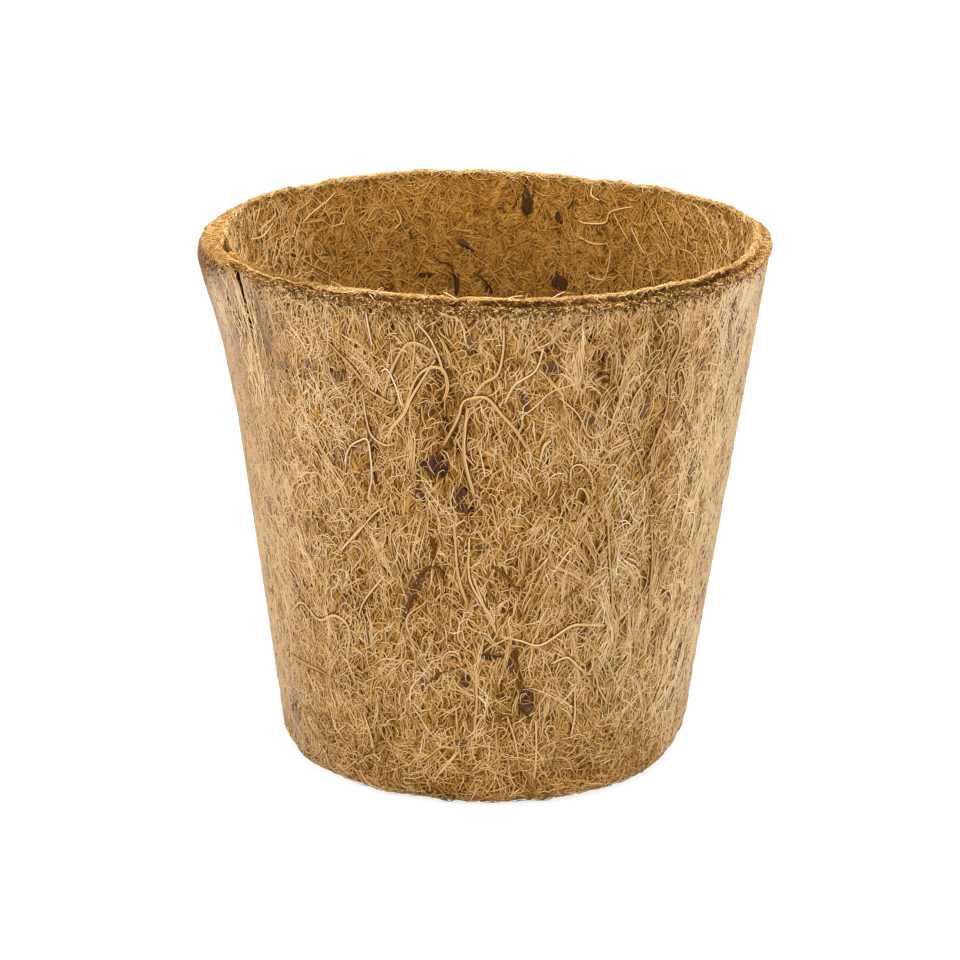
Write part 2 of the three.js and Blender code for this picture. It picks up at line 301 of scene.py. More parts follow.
def coir_fibre(name, stops, sheen, latex_and_sheen_colour=None):
    """Single coconut fibres: pale straw to dark brown from fibre to fibre, and satin. A thin film of latex
    follows the wall, and gives the pot's sides a pale sheen at a low angle. Where more latex lies on them,
    fibres with a latex colour are milky and have more of the film; at the pot's sides the milky colour is a
    painted sheen."""
    material, tree, out = new_material(name)
    tone = add_node(tree, "ShaderNodeAttribute", attribute_name="tone")
    ramp = add_node(tree, "ShaderNodeValToRGB", links={"Fac": tone.outputs["Fac"]})
    ramp_colours(ramp, stops)
    wall = add_node(tree, "ShaderNodeAttribute", attribute_name="wall")
    links = {"Base Color": ramp.outputs["Color"], "Coat Normal": wall.outputs["Vector"]}
    if latex_and_sheen_colour:
        latex_and_sheen = add_node(tree, "ShaderNodeAttribute", attribute_name="latex_and_sheen")
        # milky where latex lies; at the pot's sides the milk is a painted sheen
        milk_and_sheen = add_node(tree, "ShaderNodeMix", {"B": linear(latex_and_sheen_colour)},
                         {"Factor": latex_and_sheen.outputs["Fac"], "A": ramp.outputs["Color"]}, data_type="RGBA")
        coat = add_node(tree, "ShaderNodeMath", {1: LATEX_FILM, 2: sheen}, {0: latex_and_sheen.outputs["Fac"]},
                        operation="MULTIPLY_ADD", use_clamp=True)
        links.update({"Base Color": milk_and_sheen.outputs["Result"], "Coat Weight": coat.outputs[0]})
    surface = add_node(tree, "ShaderNodeBsdfPrincipled",
                       {"Roughness": 0.5, "IOR": 1.5, "Specular IOR Level": 0.06, "Coat Weight": sheen,
                        "Coat Roughness": 0.3, "Coat IOR": 1.25}, links)
    tree.links.new(surface.outputs[0], out.inputs["Surface"])
    return material


def coir_felt(name, dark, layers):
    """Pressed coir felt between the fibres: layers of fine fibres over dark pores, whose dark is partly
    painted shade between the threads. Each layer is a noise drawn out to streaks about 0.15 mm wide and some
    millimetres long, at its own angle on the wall's map, and all are warped by 6 mm waves, so that they curl.
    The felt is painted darker in its thin places, pits, crevice and pocket, as painted shade, and paler at
    the pot's sides, as a painted sheen."""
    material, tree, out = new_material(name)
    place = add_node(tree, "ShaderNodeUVMap", uv_map="Wall").outputs["UV"]
    warp = add_node(tree, "ShaderNodeTexNoise", {"Scale": 1 / 6, "Detail": 2}, {"Vector": place},
                    noise_dimensions="2D")
    warp = add_node(tree, "ShaderNodeVectorMath", {1: (5, 5, 0)}, {0: warp.outputs["Color"], 2: place},
                    operation="MULTIPLY_ADD")
    colour = height = None
    for layer, (angle, length, width, shade) in enumerate(layers):
        streak = add_node(tree, "ShaderNodeMapping",
                          {"Location": (layer * 17, layer * 31, 0), "Scale": (length, width, 1),
                           "Rotation": (0, 0, math.radians(angle))},
                          {"Vector": warp.outputs[0]}, vector_type="TEXTURE")
        noise = add_node(tree, "ShaderNodeTexNoise", {"Scale": 1, "Detail": 1}, {"Vector": streak.outputs[0]},
                         noise_dimensions="2D")
        line = add_node(tree, "ShaderNodeMapRange", {"From Min": 0.53, "From Max": 0.60},
                        {"Value": noise.outputs["Fac"]}, interpolation_type="SMOOTHSTEP").outputs[0]
        # the dark between the streaks is partly painted shade in the felt's pores
        mix = add_node(tree, "ShaderNodeMix", {"A": linear(dark), "B": linear(shade)}, {"Factor": line},
                       data_type="RGBA")
        raised = add_node(tree, "ShaderNodeMath", {1: 0.6 + 0.1 * layer}, {0: line}, operation="MULTIPLY")
        if colour:
            tree.links.new(colour, mix.inputs["A"])
            raised = add_node(tree, "ShaderNodeMath", links={0: height, 1: raised.outputs[0]},
                              operation="MAXIMUM")
        colour = mix.outputs["Result"]
        height = raised.outputs[0]
    # painted shade: the thin places, pits, crevice and pocket go towards near black; painted sheen: the sides
    # go pale
    for attribute, over in (("thin_and_shade", "#341B06"), ("sheen", "#C39C6E")):
        amount = add_node(tree, "ShaderNodeAttribute", attribute_name=attribute)
        mix = add_node(tree, "ShaderNodeMix", {"B": linear(over)},
                       {"Factor": amount.outputs["Fac"], "A": colour}, data_type="RGBA")
        colour = mix.outputs["Result"]
    bump = add_node(tree, "ShaderNodeBump", {"Strength": 1.0, "Distance": 0.2 * MM}, {"Height": height})
    surface = add_node(tree, "ShaderNodeBsdfPrincipled",
                       {"Roughness": 0.7, "IOR": 1.45, "Specular IOR Level": 0.05},
                       {"Base Color": colour, "Normal": bump.outputs["Normal"]})
    tree.links.new(surface.outputs[0], out.inputs["Surface"])
    return material


def husk(name, dark, worn):
    """Coconut husk skin: dark and matt, with a short grain of 0.7 mm, and paler on the chips that are more
    worn."""
    material, tree, out = new_material(name)
    place = add_node(tree, "ShaderNodeTexCoord").outputs["Object"]
    long_grain = add_node(tree, "ShaderNodeMapping", {"Scale": (1, 1, 0.3)}, {"Vector": place})
    grain = add_node(tree, "ShaderNodeTexNoise", {"Scale": 1 / (0.7 * MM), "Detail": 4, "Roughness": 0.6},
                     {"Vector": long_grain.outputs[0]}).outputs["Fac"]
    skins = []
    for shades in (dark, worn):
        ramp = add_node(tree, "ShaderNodeValToRGB", links={"Fac": grain})
        ramp_colours(ramp, list(zip((0.3, 0.55, 0.75), shades)))
        skins.append(ramp.outputs["Color"])
    wear = add_node(tree, "ShaderNodeAttribute", attribute_name="wear")
    skin = add_node(tree, "ShaderNodeMix",
                    links={"Factor": wear.outputs["Fac"], "A": skins[0], "B": skins[1]}, data_type="RGBA")
    bump = add_node(tree, "ShaderNodeBump", {"Strength": 0.6, "Distance": 0.2 * MM}, {"Height": grain})
    surface = add_node(tree, "ShaderNodeBsdfPrincipled",
                       {"Roughness": 0.8, "IOR": 1.5, "Specular IOR Level": 0.08},
                       {"Base Color": skin.outputs["Result"], "Normal": bump.outputs["Normal"]})
    tree.links.new(surface.outputs[0], out.inputs["Surface"])
    return material


# The outer mat: pale straw fibres with a film at the pot's sides, milky there as a painted sheen
OUTER_FIBRE = coir_fibre(
    "coir_fibre",
    [(0.0, "#401E00"), (0.15, "#6E4310"), (0.35, "#A2732F"), (0.6, "#CAA267"), (0.8, "#D8B88A"),
     (1.0, "#E8D5B4")],
    0.3, "#DAC0A2")
# The inner mat: browner and with hardly any film
INNER_FIBRE = coir_fibre(
    "inner_coir_fibre",
    [(0.0, "#542C04"), (0.15, "#75480E"), (0.35, "#9C6C28"), (0.6, "#BC9050"), (0.8, "#D4AD76"),
     (1.0, "#E6C898")],
    0.015)
# The cut edges: from near black to the palest straw
RIM_FIBRE = coir_fibre(
    "cut_coir_fibre",
    [(0.0, "#35200C"), (0.3, "#7C5526"), (0.6, "#B08242"), (0.85, "#D4AC6E"), (1.0, "#E9CF9C")],
    0.0)
# The felt under the outer mat: angle, length, width and colour of each layer's streaks, the deepest first
OUTER_FELT = coir_felt("outer_coir_felt", "#401F04", [
    (150, 3, 0.26, "#6A400E"), (25, 3, 0.26, "#7C5018"), (112, 4, 0.28, "#906122"), (68, 4, 0.28, "#A37432"),
    (90, 5, 0.30, "#B48644"),
])
# The felt under the inner mat, more even in colour
INNER_FELT = coir_felt("inner_coir_felt", "#643A02", [
    (90, 3, 0.26, "#7A4E10"), (10, 3, 0.26, "#875A18"), (130, 4, 0.28, "#936624"), (50, 4, 0.28, "#9D7030"),
    (165, 4, 0.30, "#A77C3C"),
])
# The chips: purplish brown outside, and nearly black inside
OUTER_HUSK = husk("coconut_husk", ("#26140C", "#40281C", "#5E4030"), ("#6A4A30", "#86643F", "#A4835E"))
INNER_HUSK = husk("inner_coconut_husk", ("#1E0E03", "#341D09", "#503414"), ("#6A4820", "#80592A", "#986E38"))


# The pot's faces

class Face:
    """A face of the pot, turned about its axis, from a profile of (radius, height) points. Side is which way
    is out: 1 to the right of the way along the profile, -1 to the left. Press gives how far the face stands
    off its profile."""

    def __init__(self, profile, side, press=None):
        self.r, self.z = np.array(profile, float).T
        self.s = np.concatenate([[0], np.cumsum(np.hypot(np.diff(self.r), np.diff(self.z)))])
        self.out_r = side * np.gradient(self.z, self.s)
        self.out_z = -side * np.gradient(self.r, self.s)
        self.floor = self.s[np.isclose(self.r, self.s)].max(initial=0)  # how far the level floor reaches
        self.press = press

    def along(self, height):
        """How far along the face a height on the wall is."""
        wall = self.z > CORNER_RADIUS
        return np.interp(height, self.z[wall], self.s[wall])

    def height(self, s):
        """The height of places along the face."""
        return np.interp(s, self.s, self.z)

    def read(self, s):
        """Radius, height and the two parts of the normal of places along the face."""
        return (np.interp(s, self.s, values) for values in (self.r, self.z, self.out_r, self.out_z))

    def look(self, turn, s, lift):
        """Points that stand off the face by lift, and the face's normals there."""
        r, z, n_r, n_z = self.read(s)
        size = np.hypot(n_r, n_z)
        normal = polar(n_r / size, turn, n_z / size)
        if self.press:
            r = r + self.press(turn, r, z)
        return polar(r + oval(turn, z), turn, z) + normal * lift[..., None], normal


def slit_turn(height):
    """Where the pleat's open edge runs: it swings fast below the rim, and then runs straight down."""
    down = (POT_HEIGHT - height) / (POT_HEIGHT - PLEAT_FOOT)
    return PLEAT_TURN + PLEAT_SWING * (1 - np.exp(-5 * down))


def lap(turn, height):
    """How far the pleat's lap stands off the wall. Its open edge rolls in, and the felt beyond it sinks."""
    v = part_way(height, PLEAT_FOOT, LAP_TOP)
    width = PLEAT_TIP_WIDTH + (PLEAT_WIDTH - PLEAT_TIP_WIDTH) * v
    behind = slit_turn(height) - from_front(turn)
    u = 1 - behind / width
    rising = part_way(u, 0, LAP_CREST)
    swell = np.where(u < LAP_CREST, rising * rising * (3 - 2 * rising), 1 - 1.5 * (u - LAP_CREST) ** 2)
    stand = np.interp(height, *zip(*LAP_STAND))
    lift = np.maximum((stand + PLEAT_SINK) * swell - PLEAT_SINK, 0) * part_way(v, 0, 0.1)
    lift = lift * (1 - 0.85 * bell(behind, 3.5))
    sunk = -0.35 * v**1.3 * bell(behind, 6)
    return np.where(behind < 0, sunk, np.where(u > 0, lift, 0))


def wall_press(turn, r, z):
    """The outer face's own shape: the lap above, and lumps round the foot, which is full in front and drawn
    in at the sides."""
    aside = np.abs(from_front(turn))
    lumps = 0.4 * part_way(z, 14, 0) * waves(turn, z, 7, 71)
    full = 1.1 * part_way(z, 5, 0) * part_way(aside, 75, 55)
    drawn = -0.25 * part_way(z, 11, 3) * bell(aside - 90, 18)
    return lap(turn, z) + (lumps + full + drawn) * part_way(r, 30, 35)


def rim_press(turn, r, z):
    """The rim's own shape: the outer ply's edge goes out with the lap."""
    return lap(turn, np.full_like(z, LAP_TOP)) * part_way(r, 48.1, 49.9)


def oval(turn, height):
    """How far the pot is out of round: out at both shoulders and in at the back towards its rim, and a little
    out down the whole of its right side."""
    turn = from_front(turn)
    shoulders = 1.3 * bell(turn - 107, 15) + 1.15 * bell(turn + 117, 10)
    back = -1.3 * bell(from_front(turn - 166), 18)
    side = 0.32 * bell(turn - 82, 26) * part_way(height, 0, 3)
    return (shoulders + back) * part_way(height, 35, 95) + side


def rolled(turn):
    """How far the rim is drawn out and down by the pleat, from 0 to 1: most next to it, and less along the
    front."""
    turn = from_front(turn)
    return part_way(turn, -81, -78) * part_way(turn, -20, -50)


def rim_wear(turn):
    """How far the rim's cut edge is up or down, with a dip at the back."""
    level = np.zeros_like(turn)
    dip = -0.6 * bell(from_front(turn) - 155, 4)
    return 0.18 * waves(turn, level, 6, 52) + 0.14 * waves(turn, level, 1.8, 51) + dip


def flattened(turn):
    """How flat the outer mat is pressed, from 0 to 1: loose over the front, and flat at the sides, most on
    the left."""
    turn = from_front(turn)
    return part_way(turn, -36, -64) + 0.5 * part_way(turn, 55, 75)


def thinness(turn, height):
    """How thin the outer mat is, from 0 to 1; it also sets how much painted shade lies there."""
    turn = from_front(turn)
    thin_and_shade = 0.35 * part_way(waves(turn, height, 5, 62), 0.35, 0.75)
    for at, middle, wide, tall, strength in THIN_PLACES:
        off = np.radians(turn - at) * MEAN_RADIUS
        thin_and_shade = np.maximum(thin_and_shade, strength * bell(off, wide) * bell(height - middle, tall))
    return thin_and_shade


def wall_radius(z, depth):
    """The radius of the wall at a height, at a depth under the outer face."""
    return FOOT_RADIUS + z * math.tan(LEAN) - depth / math.cos(LEAN)


FLOOR_POINTS = 19
CORNER_POINTS = 24
WALL_POINTS = 59


def cup_profile(depth):
    """The profile at a depth under the outer face: along the floor, round the corner and up the wall."""
    corner = CORNER_RADIUS - depth
    centre = FOOT_RADIUS + CORNER_RADIUS * math.tan(LEAN) - CORNER_RADIUS / math.cos(LEAN)
    points = [(r, depth) for r in np.linspace(0, centre, FLOOR_POINTS + 1)[:-1]]
    for angle in np.linspace(-math.pi / 2, -LEAN, CORNER_POINTS):
        points.append((centre + corner * math.cos(angle), CORNER_RADIUS + corner * math.sin(angle)))
    for z in np.linspace(points[-1][1], POT_HEIGHT, WALL_POINTS + 1)[1:]:
        points.append((wall_radius(z, depth), z))
    return points


OUTSIDE = Face(cup_profile(0), 1, wall_press)
INSIDE = Face(cup_profile(INNER_FACE), -1)
CORNER_TOP = OUTSIDE.along(CORNER_RADIUS)
# From the outer face over the outer ply's cut edge, up the inner ply's bare side, over it and down inside
RIM = Face([(50.0, 94.0), (49.95, 94.7), (49.6, 95.05), (48.5, 95.15), (48.15, 95.15), (48.08, 95.6),
            (48.0, 96.0), (47.65, 96.22), (47.1, 96.2), (46.8, 95.9), (46.65, 95.2), (46.5, 94.2)],
           1, rim_press)
# Places along the rim's face
OUTER_EDGE_END = 2.6
POCKET_SPAN = (2.75, 4.5)
RIM_CREST = 4.2


# Fibres

FLOOR_SPIN = 2.4  # radians from one floor fibre to the next
WEAVE = 0.07  # how far a fibre goes up and down between the others
TUCK = 0.3  # how far its ends go down into the felt
PRESSED = 0.15  # how far its shading leans towards the wall's
TAPER = 0.55  # how thick its ends are, as a part of its middle
FLOOR_CLEAR = 0.02  # the lowest height of a fibre
PIECE_FIBRES = 2900  # as many strips as a bake map holds well
STRIP_SHAPE = 5  # how many times taller than wide a strip is


def fibre_paths(length, heading, bend, bend_at, bend_over, wave, steps):
    """Flat paths of fibres about their middles: each starts out at heading and bends by bend, in degrees,
    round the part of its length at bend_at, over bend_over of it, with a wave on top."""
    count = len(length)
    u = np.linspace(0, 1, steps + 1)[None, :]
    bent = 0.5 + 0.5 * np.tanh((u - bend_at[:, None]) / bend_over[:, None])
    pace, start = rng.uniform(0.8, 2.2, count)[:, None], rng.uniform(0, 1, count)[:, None]
    sway = np.sin(2 * math.pi * (pace * u + start))
    way = np.radians(heading[:, None] + bend[:, None] * bent + wave[:, None] * sway)
    step = (length / steps)[:, None]
    x = np.cumsum(np.cos(way) * step, 1)
    y = np.cumsum(np.sin(way) * step, 1)
    return x - x.mean(1, keepdims=True), y - y.mean(1, keepdims=True)


def set_attribute(mesh, name, values):
    """Gives each of a mesh's points a number or a vector."""
    kind, field = ("FLOAT", "value") if values.ndim == 1 else ("FLOAT_VECTOR", "vector")
    mesh.attributes.new(name, kind, "POINT").data.foreach_set(field, values.astype(np.float32).ravel())


def tube_faces(count, knots, sides):
    """The corners of closed tubes: the quads along them and the caps at their ends."""
    first = np.arange(count)[:, None, None] * knots * sides
    here = first + np.arange(knots - 1)[None, :, None] * sides
    side = np.arange(sides)[None, None, :]
    after = (side + 1) % sides
    quads = np.stack([here + after, here + side, here + sides + side, here + sides + after], -1)
    last = first[:, 0] + (knots - 1) * sides
    caps = np.concatenate([first[:, 0] + np.arange(sides), last + np.arange(sides)[::-1]])
    return quads.reshape(-1, 4), caps


def bake_strips(quads, caps, count, knots, sides):
    """A bake map that gives each tube a strip of its own."""
    columns = math.ceil(math.sqrt(count * STRIP_SHAPE))
    rows = math.ceil(count / columns)
    corner = np.concatenate([quads.ravel(), caps.ravel()])
    order = np.arange(len(corner))
    fibre, knot = corner // (knots * sides), corner // sides % knots
    across = np.concatenate([np.tile([0, 1, 1, 0], len(quads)),
                             np.tile(np.arange(sides) / (sides - 1), len(caps))])
    cap_peak = (order >= quads.size) * np.where(order % sides == 1, 0.03, 0)
    along = knot / (knots - 1) * 0.9 + 0.05 + cap_peak
    return np.stack([(fibre % columns + 0.15 + 0.7 * across) / columns, (fibre // columns + along) / rows], 1)


def fibre_mesh(name, points, normals, radius, tone, latex_and_sheen, material, sides=3, flat=0.65, pressed=PRESSED):
    """One mesh of many tapered closed tubes, pressed to a part of their width. Their shading normals lean
    towards the wall's, because the press and the latex leave a smooth skin."""
    count, knots = points.shape[:2]
    ahead = unit(np.gradient(points, axis=1))
    across = unit(np.cross(ahead, normals))
    over = np.cross(across, ahead)
    thick = TAPER + (1 - TAPER) * np.sin(math.pi * np.linspace(0, 1, knots)) ** 0.5
    thick = thick[None, :, None] * radius[:, None, None]
    pressed = np.clip(pressed + 2 * latex_and_sheen, 0, 0.8)[:, :, None]
    rings, shading = [], []
    for angle in math.pi / 2 + np.arange(sides) * 2 * math.pi / sides:
        aside, above = math.cos(angle) * across, math.sin(angle)
        rings.append(points + (aside + flat * above * over) * thick)
        shading.append((1 - pressed) * (aside + above * over) + pressed * normals)
    co = np.stack(rings, 2).reshape(-1, 3)
    co[:, 2] = np.maximum(co[:, 2], FLOOR_CLEAR)
    quads, caps = tube_faces(count, knots, sides)
    corners = np.concatenate([quads.ravel(), caps.ravel()])
    starts = np.concatenate([np.arange(len(quads)) * 4, quads.size + np.arange(len(caps)) * sides])
    mesh = bpy.data.meshes.new(name)
    mesh.vertices.add(len(co))
    mesh.vertices.foreach_set("co", (co * MM).astype(np.float32).ravel())
    mesh.loops.add(len(corners))
    mesh.loops.foreach_set("vertex_index", corners.astype(np.int32))
    mesh.polygons.add(len(starts))
    mesh.polygons.foreach_set("loop_start", starts.astype(np.int32))
    mesh.update(calc_edges=True)
    mesh.polygons.foreach_set("use_smooth", np.ones(len(starts), bool))
    for attribute, values in (("tone", tone), ("latex_and_sheen", latex_and_sheen)):
        set_attribute(mesh, attribute, np.broadcast_to(values[:, :, None], (count, knots, sides)).ravel())
    set_attribute(mesh, "custom_normal", unit(np.stack(shading, 2)))
    set_attribute(mesh, "wall", np.broadcast_to(normals[:, :, None], (count, knots, sides, 3)))
    strips = bake_strips(quads, caps, count, knots, sides)
    mesh.uv_layers.new(name="OFBake").data.foreach_set("uv", strips.astype(np.float32).ravel())
    mesh.materials.append(material)
    made = bpy.data.objects.new(name, mesh)
    scene.collection.objects.link(made)
    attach(made, "root")
    return made


def pieces_of(name, points, normals, radius, tone, material, latex_and_sheen=0.0, pressed=PRESSED):
    """Makes fibres into pieces. Their tone and latex, with its painted sheen, may be given for each knot, for
    each fibre or once.
    """
    shape = points.shape[:2]
    tone, latex_and_sheen = (values if np.ndim(values) == 2 else np.broadcast_to(np.reshape(values, (-1, 1)), shape)
                   for values in (tone, latex_and_sheen))
    parts = np.array_split(np.arange(len(points)), math.ceil(len(points) / PIECE_FIBRES))
    for i, part in enumerate(parts):
        piece = name if len(parts) == 1 else f"{name}_{i + 1}"
        made = fibre_mesh(piece, points[part], normals[part], radius[part], tone[part], latex_and_sheen[part], material,
                          pressed=pressed)


def tucked(u, depth, ease=0.3):
    """How deep a fibre lies along its length, u from 0 to 1, when its ends go down into the felt."""
    return depth * (1 - np.sin(math.pi * u) ** ease)


def lay(face, turn, s, path, lift, tuck=TUCK):
    """Lays flat paths on a face. A fibre's ends are tucked into the felt, and between them it weaves up and
    down about its own lift, over some fibres and under others. On the level floor the paths are turned every
    way."""
    x, y = path
    u = np.linspace(0, 1, x.shape[1])[None, :]
    at = s[:, None] + y
    radius = np.maximum(np.interp(at, face.s, face.r), 4)
    around = turn[:, None] + np.degrees(x / radius)
    angle, spin = np.radians(turn)[:, None], FLOOR_SPIN * np.arange(len(turn))[:, None]
    plan_x = s[:, None] * np.sin(angle) + x * np.cos(spin) - y * np.sin(spin)
    plan_y = -s[:, None] * np.cos(angle) + x * np.sin(spin) + y * np.cos(spin)
    level = (s < face.floor)[:, None]
    around = np.where(level, np.degrees(np.arctan2(plan_x, -plan_y)), around)
    at = np.where(level, np.hypot(plan_x, plan_y), at)
    pace, start = rng.uniform(0.8, 2.4, len(turn))[:, None], rng.uniform(0, 1, len(turn))[:, None]
    rise = lift[:, None] - tucked(u, tuck)
    return around, at, rise + WEAVE * np.sin(2 * math.pi * (pace * u + start))


def draw(span, count):
    """Random numbers from a span."""
    return rng.uniform(*span, count)


def scatter(face, count, low, high):
    """Places spread evenly over a stretch of a face."""
    s = np.linspace(low, high, 400)
    weight = np.cumsum(np.interp(s, face.s, face.r))
    chosen = np.interp(rng.uniform(0, weight[-1], count), weight, s)
    return rng.uniform(-180, 180, count), chosen


def kind_paths(kind, heading, loose=0):
    """Flat paths for one kind of fibre."""
    count = len(heading)
    bend = draw(kind.bend, count) * rng.choice([-1, 1], count)
    return fibre_paths(draw(kind.length, count), heading, bend, rng.uniform(0.35, 0.65, count),
                       draw(kind.over, count), kind.wave + 14 * loose + np.zeros(count), kind.steps)


def spread_tone(kind, own):
    """Tones over a kind's range, from each fibre's own place in it between -0.5 and 0.5."""
    low, high = kind.tone
    return (low + high) / 2 + own * (high - low)


def below(at, top, ragged):
    """Moves the fibres that run over a cut edge down, to end within a ragged margin under it."""
    over = at.max(1) - top + rng.uniform(0, ragged, len(at))
    return at - np.maximum(over, 0)[:, None]


# Places of the husk chips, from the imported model

def node_middle(name):
    """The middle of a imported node's box, and its turn."""
    low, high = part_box(name)
    middle = (low + high) / 2
    return middle, math.degrees(math.atan2(middle.x, -middle.y))


def chip_places(prefix):
    """Turn, height, half width and half length of the chips whose names start with a prefix."""
    places = []
    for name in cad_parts:
        if name.startswith(prefix):
            middle, turn = node_middle(name)
            low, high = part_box(name)
            wide = math.hypot(high.x - low.x, high.y - low.y) / MM
            places.append((turn, middle.z / MM, min(wide, 5) / 2, (high.z - low.z) / MM / 2))
    return np.array(places)


OUTER_CHIPS = chip_places("husk_flake")
INNER_CHIPS = chip_places("inner_husk_flake")


def clear_of_chips(around, height, chips):
    """Which fibres stay clear of the middle of every husk chip."""
    clear = np.ones(len(around), bool)
    for turn, middle, half_wide, half_tall in chips:
        off = np.radians(from_front(around - turn)) * CHIP_RADIUS
        inside = (off / (0.7 * half_wide)) ** 2 + ((height - middle) / (0.75 * half_tall)) ** 2
        clear &= (inside > 1).all(1)
    return clear


def clear_of_slit(around, height):
    """Which fibres stay off the pleat's slit."""
    side = from_front(around) - slit_turn(height)
    near = (np.abs(side) < 12) & (height > LAP_OPEN)
    return ~((near & (side > -0.3)).any(1) & (near & (side < 0.5)).any(1))


# The outer mat

# Of each kind of fibre: how many, their length, how far they bend and over what part of their length, how far
# they wave, their steps, radius, lift off the face and tone, and the spread of their heading
Kind = namedtuple("Kind", "count length bend over wave steps radius lift tone spread", defaults=[None])


def named(kind, rows):
    """A table's rows with their values named."""
    return {name: kind(*row) for name, row in rows.items()}


OUTER_KINDS = named(Kind, {
    "under": (11500, (2.5, 6.5), (-60, 60), (0.3, 0.6), 22, 2, (0.11, 0.18), (-0.42, -0.26), (0.32, 0.66),
              40),
    "streak": (7000, (2.5, 9), (-50, 50), (0.2, 0.5), 18, 4, (0.09, 0.155), (-0.32, -0.12), (0.48, 0.80), 18),
    "swirl": (11500, (2.5, 6.5), None, None, 16, 4, (0.085, 0.145), (-0.32, -0.10), (0.48, 0.80), 26),
    "curl": (6500, (1.8, 5), (100, 270), (0.2, 0.5), 20, 5, (0.08, 0.135), (-0.28, -0.08), (0.48, 0.82), 70),
    "arch": (2800, (3, 9), (145, 190), (0.08, 0.25), 10, 7, (0.085, 0.14), (-0.24, -0.05), (0.48, 0.80), 22),
    "coarse": (300, (6, 14), (-80, 80), (0.15, 0.5), 14, 8, (0.15, 0.22), (-0.24, -0.04), (0.42, 0.76), 24),
})
BUNDLE = Kind(280, (4.5, 12), (-50, 50), (0.2, 0.5), 8, 6, (0.10, 0.15), (-0.24, -0.06), (0.44, 0.84))
BUNDLE_FIBRES = 8
WEB = Kind(None, (2.5, 5.5), (-120, 120), (0.2, 0.5), 16, 5, (0.045, 0.08), (-0.2, 0.0), (0.35, 0.85))
WEB_FIBRES = 6
# Along the pleat's open edge: where they start and how far off the edge they lie, in degrees
PLEAT = SimpleNamespace(
    count=210, top=(76, 95), length=(3, 9), behind=(-4.5, -0.1), beyond=(0.2, 3.5), across=(-3, 3),
    steps=6, radius=(0.08, 0.13), lift=(-0.3, 0.0), tone=(0.25, 0.8))
CHIP_CROSSING = 0.36  # the part of the fibres over a chip that cross it
# The part of the fibres that are odd, and how much paler or darker they are
ODD_PALE, PALER = 0.04, 0.12
ODD_DARK, DARKER = 0.06, 0.35


def outer_tone(base, turn, height):
    """A fibre's tone: its own, patches over the wall, and the odd very pale or dark fibre. It is darker where
    the mat is flattened, and painted shade darkens it in the thin places, towards the foot and on the pleat's
    lap.
    """
    odd = rng.random(len(base))
    tone = base + 0.03 * waves(turn, height, 9, 11) + 0.02 * waves(turn, height, 30, 12)
    tone = tone + np.where(odd < ODD_PALE, PALER, 0) - np.where(odd > 1 - ODD_DARK, DARKER, 0)
    tone = tone + spotted(TONE_SPOTS, turn, height)
    # darker in the thin places, as painted shade, and where the mat is pressed flat
    tone = tone - 0.22 * thinness(turn, height) - 0.21 * flattened(turn)
    # painted shade: darker towards the foot and on the pleat's lap
    low, lowest = part_way(height, 20, 5), part_way(height, 7, 0)
    on_lap = part_way(lap(turn, height), 0, 1.5)
    return np.clip(tone - 0.1 * low - 0.2 * lowest - 0.2 * on_lap, 0, 1)


def outer_latex_and_sheen(turn, height):
    """How much latex lies on the fibres: a little in patches below the rim, more at the sides, and on its own
    spots. Its milky colour is a painted sheen at the sides, where the lap's outer strip is left without it,
    and on the first two spots, on the lap."""
    turn = from_front(turn)
    high = part_way(height, 70, 96)
    aside = part_way(np.maximum(turn - 38, -turn - 30), 0, 30)
    no_sheen = part_way(lap(turn, height), 1.2, 2.2) * part_way(height, 86, 90)
    # at the sides, but not on the lap's outer strip, the milky colour is a painted sheen
    latex_and_sheen = 0.1 * high * (0.4 + 0.6 * waves(turn, height, 20, 22)) + 0.34 * aside * (1 - no_sheen)
    return np.clip(latex_and_sheen + spotted(LATEX_AND_SHEEN_SPOTS, turn, height), 0, 0.8)


def keep_outer(around, height):
    """Which fibres are kept: those off the slit and the chips, and fewer of them in the thin places."""
    count, middle = len(around), around.shape[1] // 2
    keep = clear_of_slit(around, height)
    keep &= clear_of_chips(around, height, OUTER_CHIPS) | (rng.random(count) < CHIP_CROSSING)
    return keep & (rng.random(count) > 0.8 * thinness(around[:, middle], height[:, middle]))


def lay_outer(name, kind, turn, s, path):
    """Lays one kind of fibre on the outer face, looser at the foot and flatter at the sides."""
    count = len(turn)
    height = OUTSIDE.height(s)
    lift = draw(kind.lift, count) + 0.12 * part_way(height, 15, 5)
    around, at, rise = lay(OUTSIDE, turn, s, path, lift)
    flat = flattened(turn)
    rise = rise + (-0.2 - rise) * 0.6 * flat[:, None]
    at = below(at, OUTSIDE.along(OUTER_TOP) - 0.1, 0.9)
    z = OUTSIDE.height(at)
    keep = keep_outer(around, z)
    points, normals = OUTSIDE.look(around[keep], at[keep], rise[keep])
    tone = spread_tone(kind, rng.uniform(-0.5, 0.5, count) * (1 - 0.45 * flat))
    tone = outer_tone(tone, turn, height)[keep][:, None]
    tone = np.clip(tone + 0.08 * np.sin(np.linspace(0, 6, points.shape[1])[None] + 40 * tone), 0, 1)
    latex_and_sheen = outer_latex_and_sheen(around[keep], z[keep])
    pieces_of(name, points, normals, draw(kind.radius, count)[keep], tone, OUTER_FIBRE, latex_and_sheen)


